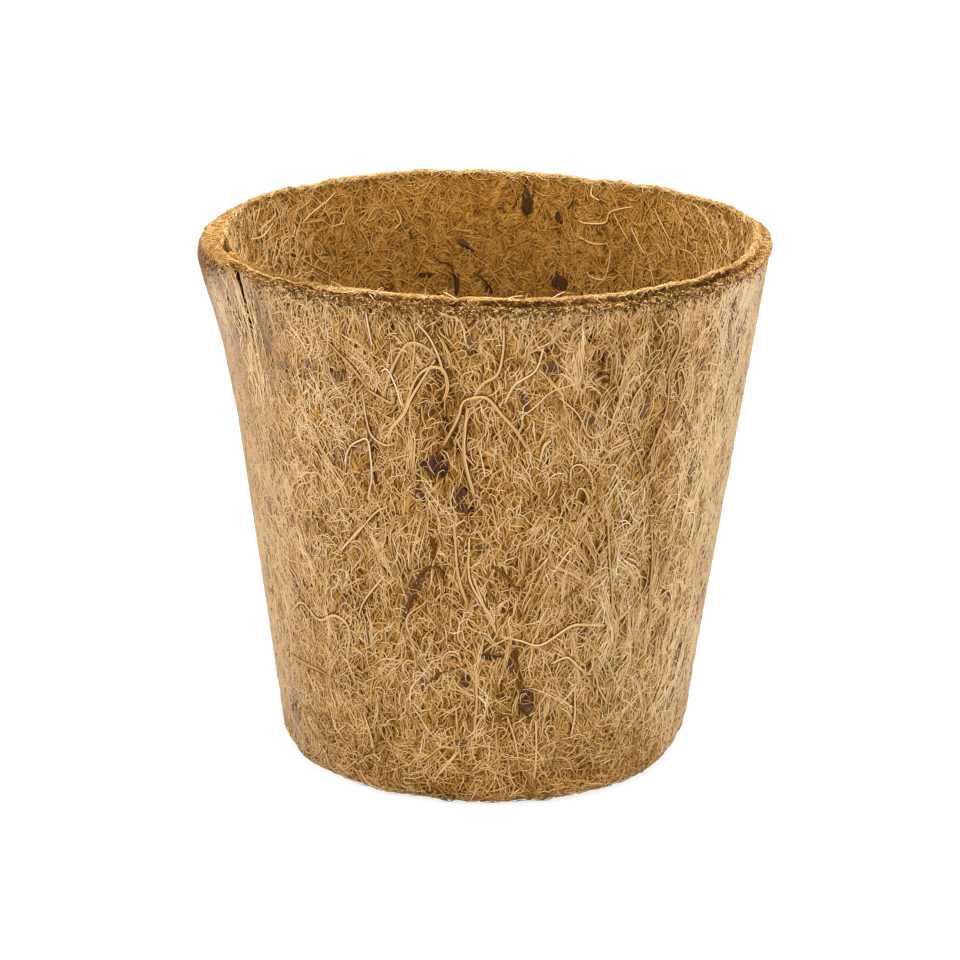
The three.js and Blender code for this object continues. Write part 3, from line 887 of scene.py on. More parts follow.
def swirl_paths(kind, turn, height, own):
    """Flat paths that follow one pattern of swirls on the wall, so that neighbours lie side by side."""
    step = draw(kind.length, len(turn)) / kind.steps
    x, y = np.zeros(len(turn)), np.zeros(len(turn))
    path = [(x, y)]
    for _ in range(kind.steps):
        swirl = waves(turn + np.degrees(x / MEAN_RADIUS), height + y, 2.4, 5)
        way = np.radians(90 + 50 * swirl + own)
        x = x + np.cos(way) * step
        y = y + np.sin(way) * step
        path.append((x, y))
    x, y = np.array(path).transpose(1, 2, 0)
    return x, y


def outer_fibres():
    """The mat on the outer face: streaks and swirls up the wall, curls, arches with their tops up, and a
    loose tangle below."""
    for name, kind in OUTER_KINDS.items():
        turn, s = scatter(OUTSIDE, kind.count, CORNER_TOP - 5, OUTSIDE.along(OUTER_TOP) + 1)
        height = OUTSIDE.height(s)
        loose = part_way(height, 16, 6)
        lean = 24 * waves(turn, height, 16, 3) * (name != "arch")
        own = rng.normal(0, 1, kind.count) * (kind.spread + 45 * loose)
        if name == "swirl":
            path = swirl_paths(kind, turn, height, own)
        else:
            path = kind_paths(kind, 90 + lean + own, loose)
        lay_outer(f"outer_{name}_fibres", kind, turn, s, path)


def outer_bundles():
    """Fibres that lie side by side in flat bundles, a third of them up the right half of the front."""
    count = BUNDLE.count
    turn, s = scatter(OUTSIDE, count, CORNER_TOP + 8, OUTSIDE.along(OUTER_TOP) - 4)
    turn = np.where(np.arange(count) % 3 == 0, rng.uniform(15, 75, count), turn)
    heading = rng.normal(90, 16, count)
    x, y = kind_paths(BUNDLE, heading)
    many = count * BUNDLE_FIBRES
    x, y = (np.repeat(part, BUNDLE_FIBRES, 0) * rng.uniform(0.75, 1, many)[:, None] for part in (x, y))
    aside = rng.normal(0, 0.4, many)[:, None]
    way = np.radians(np.repeat(heading, BUNDLE_FIBRES))[:, None]
    along = rng.normal(0, 1.2, many)[:, None]
    x = x + aside * np.sin(way) + along * np.cos(way)
    y = y - aside * np.cos(way) + along * np.sin(way)
    turn, s = (np.repeat(part, BUNDLE_FIBRES) for part in (turn, s))
    lay_outer("outer_bundle_fibres", BUNDLE, turn, s, (x, y))


def web_fibres():
    """Fine fibres that cross the husk chips."""
    chip = np.repeat(OUTER_CHIPS, WEB_FIBRES, 0)
    count = len(chip)
    turn = chip[:, 0] + np.degrees(rng.normal(0, 0.5, count) * chip[:, 2] / CHIP_RADIUS)
    s = OUTSIDE.along(chip[:, 1] + rng.normal(0, 0.5, count) * chip[:, 3])
    path = kind_paths(WEB, rng.uniform(0, 360, count))
    around, at, rise = lay(OUTSIDE, turn, s, path, draw(WEB.lift, count))
    points, normals = OUTSIDE.look(around, at, rise)
    tone = outer_tone(draw(WEB.tone, count), turn, OUTSIDE.height(s))
    pieces_of("outer_web_fibres", points, normals, draw(WEB.radius, count), tone, OUTER_FIBRE,
              outer_latex_and_sheen(around, OUTSIDE.height(at)))


def pleat_fibres():
    """Fibres that lie along both sides of the pleat's open edge, and every fifth one crosses it."""
    kind, count = PLEAT, PLEAT.count
    u = np.linspace(0, 1, kind.steps + 1)[None, :]
    top = np.minimum(draw(kind.top, count), LAP_TOP - 0.1)[:, None]
    height = top - draw(kind.length, count)[:, None] * u
    aside = np.where(rng.random(count) < 0.7, draw(kind.behind, count), draw(kind.beyond, count))
    sway = np.sin(2 * math.pi * (u * rng.uniform(0.4, 1.2, count)[:, None] + rng.random(count)[:, None]))
    crossing = np.where(np.arange(count) % 5 == 0, draw(kind.across, count), 0)
    aside = np.where(crossing != 0, 0.2 * aside, aside)
    around = slit_turn(height) + aside[:, None] * (1 + 0.25 * sway) + crossing[:, None] * (u - 0.5)
    rise = draw(kind.lift, count)[:, None] - tucked(u, TUCK)
    points, normals = OUTSIDE.look(around, OUTSIDE.along(height), rise)
    tone = draw(kind.tone, count)
    pieces_of("outer_pleat_fibres", points, normals, draw(kind.radius, count), tone, OUTER_FIBRE,
              outer_latex_and_sheen(around, height))


FOOT_KINDS = named(Kind, {
    # the foot's tones are low, partly as painted shade near the floor
    "foot": (1200, (3.5, 10), (-120, 120), (0.2, 0.5), 24, 5, (0.09, 0.15), (-0.14, 0.12), (0.18, 0.66)),
    "underside": (4200, (3, 9), (-120, 120), (0.2, 0.5), 24, 3, (0.10, 0.17), (-0.34, -0.08), (0.25, 0.70)),
    "stray": (20, (4, 9), (-60, 60), (0.2, 0.5), 16, 7, (0.09, 0.13), (0.1, 0.4), (0.4, 0.8)),
})


def foot_fibres():
    """The loose tangle round the foot, thinner and paler at the sides, and the mat on the underside."""
    for name, kind in FOOT_KINDS.items():
        count = kind.count
        span = (0.5, CORNER_TOP - 3) if name == "underside" else (CORNER_TOP - 6, CORNER_TOP + 7)
        turn, s = scatter(OUTSIDE, count, *span)
        path = kind_paths(kind, rng.uniform(0, 360, count))
        around, at, rise = lay(OUTSIDE, turn, s, path, draw(kind.lift, count))
        beside = part_way(np.abs(turn), 45, 70) * (name != "underside")
        keep = rng.random(count) > 0.9 * beside * part_way(OUTSIDE.height(s), 2, 8)
        points, normals = OUTSIDE.look(around[keep], at[keep], rise[keep])
        tone = np.clip(draw(kind.tone, count) + 0.14 * beside, 0, 1)[keep]
        pieces_of(f"outer_{name}_fibres", points, normals, draw(kind.radius, count)[keep], tone,
                  OUTER_FIBRE)


# The inner mat

INNER_KINDS = named(Kind, {
    "under": (8000, (2.5, 6.5), (-60, 60), (0.3, 0.6), 24, 2, (0.11, 0.18), (-0.42, -0.26), (0.20, 0.56)),
    "streak": (5600, (2.5, 8), (-60, 60), (0.3, 0.6), 14, 3, (0.11, 0.19), (-0.34, -0.10), (0.26, 0.72), 28),
    "curl": (4800, (2, 6), (80, 220), (0.2, 0.5), 18, 4, (0.10, 0.18), (-0.34, -0.08), (0.26, 0.72)),
    "coarse": (80, (6, 16), (-60, 60), (0.2, 0.5), 12, 9, (0.08, 0.12), (-0.22, -0.04), (0.5, 0.72)),
})
INNER_CROSSING = 0.5  # the part of the fibres over a chip that cross it


def inner_fibres():
    """The mat on the inner face lies every way and is browner than the outer one. Painted light makes it
    paler up its left and right walls, more on the left, so that it is brownest at the back. A third of its
    fibres are put in the upper part, which is in sight."""
    top = INSIDE.along(POT_HEIGHT - 0.6)
    for name, kind in INNER_KINDS.items():
        count = kind.count
        turn, s = scatter(INSIDE, count, 0.5, top + 1)
        s = np.where(np.arange(count) % 3 == 0, rng.uniform(INSIDE.along(66), top + 1, count), s)
        height = INSIDE.height(s)
        heading = rng.normal(90, kind.spread, count) if kind.spread else rng.uniform(0, 360, count)
        path = kind_paths(kind, heading)
        around, at, rise = lay(INSIDE, turn, s, path, draw(kind.lift, count))
        at = below(at, top - RIM_DIP * rolled(turn), 0.8)
        keep = clear_of_chips(around, INSIDE.height(at), INNER_CHIPS) | (rng.random(count) < INNER_CROSSING)
        patch = waves(turn, height, 10, 31)
        keep &= rng.random(count) < 0.85 + 0.3 * patch
        points, normals = INSIDE.look(around[keep], at[keep], rise[keep])
        odd = rng.random(count)
        aside = np.sin(np.radians(turn)) ** 2 * part_way(height, 8, 38)
        tone = spread_tone(kind, rng.uniform(-0.5, 0.5, count) * (0.36 + 0.54 * aside)) + 0.04 * patch
        # painted light: paler up the left and right walls, more on the left
        painted_light = np.where(from_front(turn) > 0, 0.26, 0.38) * aside
        tone = np.clip(tone - np.where(odd > 0.95, 0.2, 0) + painted_light - 0.12, 0, 1)[keep]
        pieces_of(f"inner_{name}_fibres", points, normals, draw(kind.radius, count)[keep], tone,
                  INNER_FIBRE, pressed=0.35)


# The rim

# Span is the stretch of the rim's face that a kind of fibre lies on, heading the middle and the spread of
# theirs, and reach their turns
RimKind = namedtuple("RimKind", "count span length heading wave steps radius lift tone reach",
                     defaults=[None])
RIM_KINDS = named(RimKind, {
    "edge": (1900, (3.6, 4.9), (2, 6), (0, 18), 16, 4, (0.08, 0.13), (-0.10, 0.10), (0.55, 1.0)),
    # the inner ply's bare side in the crevice: its dark tones are painted shade
    "side": (1500, (2.75, 3.5), (1, 3.5), (0, 35), 16, 3, (0.09, 0.14), (-0.16, 0.08), (0.05, 0.5)),
    "end": (1000, (3.4, 5.3), (0.6, 1.5), (90, 40), 12, 3, (0.09, 0.14), (-0.08, 0.16), (0.35, 0.95)),
    "trim": (1300, (0.6, 2.1), (0.8, 2.6), (0, 60), 20, 3, (0.09, 0.14), (-0.12, 0.10), (0.15, 0.75)),
    "crumb": (3600, (0.0, 2.2), (0.3, 0.8), (90, 60), 0, 2, (0.10, 0.17), (-0.10, 0.12), (0.0, 0.32)),
    "speck": (1300, (0.1, 1.7), (0.3, 0.7), (90, 60), 0, 2, (0.09, 0.15), (0.0, 0.16), (0.55, 1.0)),
    "lap": (5200, (0.7, 2.6), (1.5, 5), (0, 22), 14, 4, (0.09, 0.14), (-0.12, 0.10), (0.45, 0.95)),
    "roll": (1100, (2.8, 5.6), (1, 3.5), (90, 30), 14, 3, (0.09, 0.15), (-0.14, 0.08), (0.15, 0.6),
             (-74, -22)),
    "loop": (36, (4.5, 5.0), (4, 8), (0, 5), 8, 6, (0.09, 0.13), (-0.06, 0.14), (0.6, 0.95), (-80, -73)),
})
CRUMBS = SimpleNamespace(
    count=1700, reach=(-74, 80), depth=1.4, length=(0.3, 0.8), heading=(90, 60), steps=2,
    radius=(0.09, 0.15), lift=(-0.12, 0.08), pale=(0.6, 0.95), dark=(0.0, 0.3))
# Loose hairs: the turns of some at the front, and how many more there are there and at the back
HAIRS = SimpleNamespace(
    front=[-19, -18, -13, -8, 6, 7.5, 16, 31], more=22, back=18, span=(3.7, 4.7), length=(0.6, 2.2),
    steps=5, radius=(0.05, 0.085), tone=(0.5, 1.0), highest=97.4)
# Hairs that stand out on the front of the rim: turn of the foot, turn of the tip, rise and radius
FRONT_HAIRS = [
    (-6.2, -9.2, 0.85, 0.12), (3.7, 6.9, 0.8, 0.12), (12.5, 15.5, 1.0, 0.11), (-23.5, -22, 0.9, 0.09),
]


def rim_sink(turn):
    """How far the rim's edge is up or down all round: worn, and drawn down by the pleat."""
    return rim_wear(turn) - RIM_DIP * rolled(turn)


def rim_fibres():
    """The cut edges: fibres that lie along the rim, the cut ends across it, and the grainy trim below. The
    trim is browner in patches along the front. The darkest kinds, whose dark is partly painted shade of the
    crevice, are painted paler at the back."""
    for name, kind in RIM_KINDS.items():
        count = kind.count
        turn, s = scatter(RIM, count, *kind.span)
        path = fibre_paths(draw(kind.length, count), rng.normal(*kind.heading, count),
                           rng.uniform(-50, 50, count), np.full(count, 0.5), np.full(count, 0.4),
                           np.full(count, kind.wave), kind.steps)
        if kind.reach:
            turn = draw(kind.reach, count)
        around, at, rise = lay(RIM, turn, s, path, draw(kind.lift, count), tuck=0.2)
        if not kind.reach:
            at = at * (1 - 0.45 * rolled(around))
        keep = (at.min(1) > 0) & (at.max(1) < RIM.s[-1])
        in_pocket = (np.abs(around - POCKET_TURN) < 3.6) & (at > POCKET_SPAN[0]) & (at < POCKET_SPAN[1])
        on_lap = lap(turn, np.full(count, LAP_TOP)) > 0.5
        keep &= ~in_pocket.any(1) & ((s > OUTER_EDGE_END) | (on_lap == (name == "lap")))
        if name == "roll":
            keep &= rng.random(count) < rolled(turn)
        points, normals = RIM.look(around[keep], at[keep], rise[keep])
        drawn = RIM_DIP * rolled(around[keep]) * part_way(at[keep], 2.3, 3.1)
        points[..., 2] += rim_wear(around[keep]) - drawn
        aside = np.abs(from_front(turn))
        # less of the painted shade at the back: the darkest kinds are painted paler there
        painted_light = 0.35 * part_way(aside, 55, 80) * (kind.tone[0] < 0.2)
        browner = 0.22 * part_way(from_front(turn), -85, -77) * (name == "lap")
        patches = 0.2 + 0.18 * waves(turn, np.zeros(count), 5, 83)
        browner = browner + part_way(aside, 72, 52) * patches * (name in ("side", "trim"))
        tone = (draw(kind.tone, count) + painted_light - browner)[keep]
        pieces_of(f"rim_{name}_fibres", points, normals, draw(kind.radius, count)[keep], tone, RIM_FIBRE)


def rim_hairs():
    """Loose hairs that stand up from the rim."""
    turn = np.concatenate([HAIRS.front, rng.uniform(-75, 75, HAIRS.more), rng.uniform(75, 285, HAIRS.back)])
    count, knots = len(turn), HAIRS.steps + 1
    foot, normals = RIM.look(turn, draw(HAIRS.span, count), np.full(count, -0.1))
    level = np.zeros(count)
    along, away = polar(1, turn + 90, level), polar(1, turn, level)
    lean = along * rng.normal(0, 0.9, count)[:, None] + away * rng.normal(0, 0.4, count)[:, None]
    lean = unit(lean + np.array([0, 0, 0.6]))
    u = np.linspace(0, 1, knots)[None, :, None]
    length = np.where(np.abs(turn) < 75, draw(HAIRS.length, count), 0.7)[:, None, None]
    curl = rng.normal(0, 0.35, (count, 1, 3)) * u**2
    points = foot[:, None] + length * (lean[:, None] * u + curl)
    points[..., 2] = np.minimum(points[..., 2] + rim_sink(turn)[:, None], HAIRS.highest)
    tone = draw(HAIRS.tone, count)
    normals = np.repeat(normals[:, None], knots, 1)
    pieces_of("rim_hairs", points, normals, draw(HAIRS.radius, count), tone, RIM_FIBRE)


def rim_crumbs():
    """Cut ends in the outer face in a ragged band below the rim, dark with pale ones among them, and fading
    out to the right."""
    kind, count = CRUMBS, CRUMBS.count
    turn = draw(kind.reach, count)
    plain = np.zeros(count)
    ragged = 1 + 0.5 * waves(turn, plain, 8, 81)
    height = OUTER_TOP - 0.4 - np.abs(rng.normal(0, kind.depth, count)) * ragged
    path = fibre_paths(draw(kind.length, count), rng.normal(*kind.heading, count), plain, plain + 0.5,
                       plain + 0.4, plain, kind.steps)
    around, at, rise = lay(OUTSIDE, turn, OUTSIDE.along(height), path, draw(kind.lift, count), tuck=0.15)
    keep = (np.abs(turn - slit_turn(height)) > 3) & (rng.random(count) < part_way(turn, 85, 45))
    points, normals = OUTSIDE.look(around[keep], at[keep], rise[keep])
    tone = np.where(rng.random(count) < 0.35, draw(kind.pale, count), draw(kind.dark, count))
    pieces_of("rim_crumbs", points, normals, draw(kind.radius, count)[keep], tone[keep], RIM_FIBRE)


def front_hairs():
    """The hairs that stand out on the front of the rim."""
    foot, tip, rise, radius = np.array(FRONT_HAIRS).T[:, :, None]
    u = np.linspace(0, 1, 8)[None, :]
    turn = foot + (tip - foot) * u
    lift = rise * np.sin(0.5 * math.pi * u) - 0.12
    points, normals = RIM.look(turn, np.full(turn.shape, RIM_CREST), lift)
    points[..., 2] += rim_sink(turn)
    pieces_of("front_rim_hairs", points, normals, radius[:, 0], 1.0, RIM_FIBRE)


# Felt shells

BASE_POINTS = (8, 19, 26, 34, 42)  # points of a cup's profile that are enough for a shell's hidden side
SLIT_COLUMN = -60.47  # the turn of the column of a shell's points that follows the pleat's open edge
# Which columns from there on go with the edge, and how far off it each one is, in degrees, where it is open
SLIT_COLUMNS = ((0, -0.02), (1, -0.4), (2, 0.0), (3, 0.45))
EDGE_DEPTH = 1.2  # how far down from its cut edge a shell is worn


def finish_piece(piece, name, material):
    """Names a piece, shades it smooth and puts it on the pot."""
    piece.name = name
    piece.data.name = name
    piece.data.materials.clear()
    piece.data.materials.append(material)
    bpy.ops.object.shade_smooth_by_angle(angle=math.radians(50))
    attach(piece, "root")


def turn_shell(rings):
    """A closed shell drawn from a disc by extruding its rim through (radius, height) rings, first to last,
    and subdivided once."""
    first_r, first_z = rings[0]
    bpy.ops.mesh.primitive_circle_add(vertices=SHELL_SIDES, radius=first_r * MM, fill_type="TRIFAN",
                                      location=(0, 0, first_z * MM))
    bpy.ops.object.transform_apply(location=True, rotation=True, scale=True)
    bpy.ops.object.mode_set(mode="EDIT")
    bpy.ops.mesh.select_mode(type="EDGE")
    bpy.ops.mesh.select_all(action="SELECT")
    bpy.ops.mesh.region_to_loop()
    for (r, z), (next_r, next_z) in zip(rings, rings[1:]):
        bpy.ops.mesh.extrude_edges_move(TRANSFORM_OT_translate={"value": (0, 0, (next_z - z) * MM)})
        bpy.ops.transform.resize(value=(next_r / r, next_r / r, 1), center_override=(0, 0, 0))
    bpy.ops.mesh.edge_face_add()
    bpy.ops.mesh.poke()
    bpy.ops.mesh.select_all(action="SELECT")
    bpy.ops.mesh.subdivide(number_cuts=1)
    bpy.ops.mesh.normals_make_consistent(inside=False)
    bpy.ops.object.mode_set(mode="OBJECT")
    return bpy.context.object


def felt_rings(face, top):
    """(radius, height) rings up a face from its floor to a height, in the bed under it."""
    rings = []
    corner_top = face.along(CORNER_RADIUS)
    for s in np.concatenate([np.linspace(12, corner_top - 7, 3), np.linspace(corner_top - 6, corner_top, 5),
                             np.linspace(corner_top + 1.8, face.along(top), 36)]):
        r, z, out_r, out_z = face.read(s)
        rings.append((r - BED * out_r, z - BED * out_z))
    return rings


def wall_rings(*places):
    """(radius, height) rings from heights and depths under the outer face."""
    return [(wall_radius(z, depth), z) for z, depth in places]


def base_rings(depth):
    """(radius, height) rings out along the floor and round the corner, at a depth under the outer face."""
    profile = cup_profile(depth)
    return [profile[i] for i in BASE_POINTS]


def chart_shell(shell, turn, r, z):
    """Gives a shell a map in millimetres: of its wall, across is round the pot and up is along the wall, and
    of its floor, the plan."""
    mesh = shell.data
    corners = np.empty(len(mesh.loops), np.int32)
    mesh.loops.foreach_get("vertex_index", corners)
    first, sides = (np.empty(len(mesh.polygons), np.int32) for _ in range(2))
    mesh.polygons.foreach_get("loop_start", first)
    mesh.polygons.foreach_get("loop_total", sides)
    start = np.repeat(turn[corners[first]], sides)
    round_it = start + from_front(turn[corners] - start)
    up = np.where(z > CORNER_RADIUS, z, r - FOOT_RADIUS)[corners]
    chart = np.stack([np.radians(round_it) * MEAN_RADIUS, up], 1)
    plan = polar(r, turn, z)[corners, :2]
    level = np.repeat(r[corners[first]] < FOOT_RADIUS - 2 * CORNER_RADIUS, sides)
    chart = np.where(level[:, None], plan, chart)
    mesh.uv_layers.new(name="Wall").data.foreach_set("uv", chart.astype(np.float32).ravel())


def press_outer(turn, r, z, edge):
    """Presses the pleat into the outer shell's face and sinks its thin places. The columns of points next to
    the pleat's open edge go under it, so that the edge overhangs a crevice. The thin places, pits and crevice
    are painted dark as painted shade, and the pot's sides paler as a painted sheen."""
    front = r > wall_radius(np.maximum(z, 5), 1.0)
    pitch = 180 / SHELL_SIDES
    column = np.round((turn - SLIT_COLUMN) / pitch)
    slit = slit_turn(z)
    drawn = part_way(z, 50, 70) * bell(turn - SLIT_COLUMN, 9)
    moved = turn + (slit - SLIT_COLUMN) * drawn
    open_edge = part_way(z, 78, 83)
    for place, aside in SLIT_COLUMNS:
        beside = slit + aside * open_edge + place * pitch * (1 - open_edge)
        moved = np.where((column == place) & (z > 70), beside, moved)
    lift = wall_press(moved, r, z) + 0.12 * flattened(moved)
    lift = np.where(np.isin(column, (1, 2)), lift * (1 - open_edge) - 0.9 * open_edge, lift)
    pits = np.clip(waves(moved, z, 1.3, 61) * 1.6 - 0.3, 0, 1)
    # the thin places and pits are sunk, and painted dark as painted shade in them
    thin_and_shade = np.clip(thinness(moved, z) * (0.5 + 0.5 * pits) + 0.25 * pits, 0, 1) * (z > 3) * (1 - edge)
    # painted sheen: the felt is paler at the pot's sides, off the slit
    sheen = 0.5 * part_way(np.abs(turn), 38, 68) * (np.abs(moved - slit) > 2.5 * (z > 76)) * (z > 3)
    r = r + np.where(front, lift - 0.6 * thin_and_shade, 0)
    # the columns under the pleat's open edge are painted dark: painted shade in the crevice
    thin_and_shade = np.where(np.isin(column, (0, 1, 2)) & front, np.maximum(thin_and_shade, open_edge), thin_and_shade)
    return np.where(front, moved, turn), r, z, thin_and_shade, sheen


def press_inner(turn, r, z, edge):
    """Sinks the inner shell's thin places, draws its edge down beside the pleat, and opens a small pocket in
    the edge, where the pleat holds it off the outer shell. Its thin places and the pocket are painted dark,
    as painted shade."""
    inside = r < wall_radius(z, INNER_FACE - 0.6)
    pits = np.clip(waves(turn, z, 1.3, 63) * 1.6 - 0.4, 0, 1)
    # pits, painted dark as painted shade in them
    thin_and_shade = 0.6 * pits * (z > 6) * (1 - edge) * inside
    r = r + 0.4 * thin_and_shade
    pocket = np.exp(-(((turn - POCKET_TURN) / 3.2) ** 4))
    pocket = pocket * part_way(r - wall_radius(z, INNER_FACE - 0.5), 0, 0.3)
    sunk = RIM_DIP * rolled(turn) * edge + 3 * pocket * part_way(z, 90, 95)
    # the pocket is painted dark: painted shade in it
    thin_and_shade = np.maximum(thin_and_shade, pocket * (z > 93))
    return turn, r, z - sunk, thin_and_shade, np.zeros(len(z))


def press_shell(shell, top, press):
    """Gives a shell its own shape, wears its cut edge and maps it."""
    co = np.array([v.co for v in shell.data.vertices]) / MM
    r, z = np.hypot(co[:, 0], co[:, 1]), co[:, 2]
    turn = np.degrees(np.arctan2(co[:, 0], -co[:, 1]))
    edge = part_way(z, top - EDGE_DEPTH, top)
    turn, r, z, thin_and_shade, sheen = press(turn, r, z, edge)
    r = r + oval(turn, z)
    co = polar(r, turn, z + edge * rim_wear(turn))
    shell.data.vertices.foreach_set("co", (co * MM).astype(np.float32).ravel())
    chart_shell(shell, turn, r, z)
    set_attribute(shell.data, "thin_and_shade", thin_and_shade)
    set_attribute(shell.data, "sheen", sheen)
    shell.data.update()


def outer_shell():
    """The outer ply: its face, its ragged cut edge and its back, which lies on the inner ply."""
    edge = wall_rings((94.9, 0.4), (95.0, 0.9), (95.0, 1.5))
    down = wall_rings(*((z, OUTER_PLY) for z in (94.6, 91, 87, 60, 25, 8)))
    shell = turn_shell(felt_rings(OUTSIDE, 94.4) + edge + down + base_rings(OUTER_PLY)[::-1])
    press_shell(shell, 95.0, press_outer)
    finish_piece(shell, "outer_felt", OUTER_FELT)
    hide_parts("outer_ply")


def inner_shell():
    """The inner ply: its back against the outer ply, its cut edge, which is the rim, and its face."""
    back = base_rings(INNER_BACK) + wall_rings(*((z, INNER_BACK) for z in (12, 40, 70, 90, 94.5, 95.4)))
    edge = wall_rings((95.9, INNER_BACK + 0.15), (96.05, OUTER_PLY + 0.7), (96.0, INNER_FACE - 0.35))
    shell = turn_shell(back + edge + felt_rings(INSIDE, 95.5)[::-1])
    press_shell(shell, 96.0, press_inner)
    finish_piece(shell, "inner_felt", INNER_FELT)
    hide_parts("inner_ply")


# Husk chips

CHIP_SINK = 0.39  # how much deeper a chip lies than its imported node
CHIP_WELD = 0.002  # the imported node's points that are nearer than this are one
CHIP_BEVEL = 0.2
CRUMPLE_SIZE = 0.9
CRUMPLE_DEPTH = 0.5
INNER_WEAR = 0.1
# How worn each chip of the outer face is, from dark at 0 to pale at 1
CHIP_WEAR = [
    0.0, 0.05, 0.1, 0.1, 0.3, 0.1, 0.1, 0.1, 0.1, 0.25, 0.6, 0.65, 0.3, 0.3, 0.3, 0.35, 0.5, 0.2, 0.3, 0.2,
    0.35, 0.4, 0.5, 0.4, 0.5, 0.55, 0.3, 0.1, 0.5, 0.2, 0.0, 0.4, 0.6, 0.3, 0.5, 0.2,
]


def husk_chips():
    """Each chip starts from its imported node's outline, with its edges worn round and its skin crumpled, and
    lies a little deeper, so that fibres cross it."""
    crumple = bpy.data.textures.new("husk_crumple", "CLOUDS")
    crumple.noise_scale = CRUMPLE_SIZE * MM
    for name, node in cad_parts.items():
        if "husk_flake" not in name:
            continue
        chip = bpy.data.objects.new(name + "_chip", node.data.copy())
        scene.collection.objects.link(chip)
        bpy.ops.object.select_all(action="DESELECT")
        bpy.context.view_layer.objects.active = chip
        chip.select_set(True)
        middle, turn = node_middle(name)
        inside = name.startswith("inner")
        outward = Vector((middle.x, middle.y, 0)).normalized()
        off = float(oval(turn, middle.z / MM)) + (CHIP_SINK if inside else -CHIP_SINK)
        bpy.ops.object.mode_set(mode="EDIT")
        bpy.ops.mesh.select_all(action="SELECT")
        bpy.ops.mesh.remove_doubles(threshold=CHIP_WELD * MM)
        bpy.ops.mesh.dissolve_limited(angle_limit=math.radians(5))
        bpy.ops.mesh.bevel(offset=CHIP_BEVEL * MM, segments=2)
        bpy.ops.mesh.subdivide(number_cuts=1)
        bpy.ops.transform.translate(value=outward * off * MM)
        bpy.ops.object.mode_set(mode="OBJECT")
        worn = chip.modifiers.new("worn", "DISPLACE")
        worn.texture = crumple
        worn.texture_coords = "LOCAL"
        worn.strength = CRUMPLE_DEPTH * MM
        bpy.ops.object.modifier_apply(modifier="worn")
        wear = INNER_WEAR if inside else CHIP_WEAR[int(name[-2:]) - 1]
        set_attribute(chip.data, "wear", np.full(len(chip.data.vertices), wear))
        finish_piece(chip, name + "_chip", INNER_HUSK if inside else OUTER_HUSK)
        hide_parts(name)


# Fibres that stand out one by one, laid along listed routes

STRAND_RADIUS = 0.30
STRAND_TONE = 0.58
RIBBON_STEPS = 28
RIBBON_FIBRE = 0.11  # half the width of one fibre in a ribbon
RIBBON_TUCK = 0.35  # how far its ends go down into the felt
# the dark fibres at a ribbon's edges are a painted shadow beside it
SHADOW_EDGE_FIBRE = 0.1  # half the width of the dark fibre at a ribbon's edge
SHADOW_EDGE_TONE = 0.06
SHADOW_EDGE_LIFT = -0.12
SLIVER_SINK = 0.12

# The coarsest strands' routes, as turns and heights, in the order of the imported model
STRANDS = [
    [[-22, 77], [-19, 84], [-16, 88], [-13, 88], [-10, 86]],
    [[-18, 73], [-15, 81], [-12, 84], [-9, 84], [-8, 81], [-9, 78]],
    [[-9, 70], [-6, 75], [-5, 78], [-3, 79], [0, 79], [3, 76], [6, 73], [9, 69]],
    [[-3, 46], [0, 40], [2, 36]],
    [[4, 34], [9, 33], [14, 32], [21, 35], [25, 35], [31, 34]],
    [[17, 28], [21, 29], [24, 27], [27, 25]],
    [[-7, 56], [-6, 46], [-4, 40]],
    [[-57, 31], [-51, 34], [-45, 32], [-39, 34], [-35, 32], [-37, 25]],
    [[-33, 16], [-31, 12], [-30, 7]],
    [[-35, 87], [-29, 83], [-25, 79]],
]

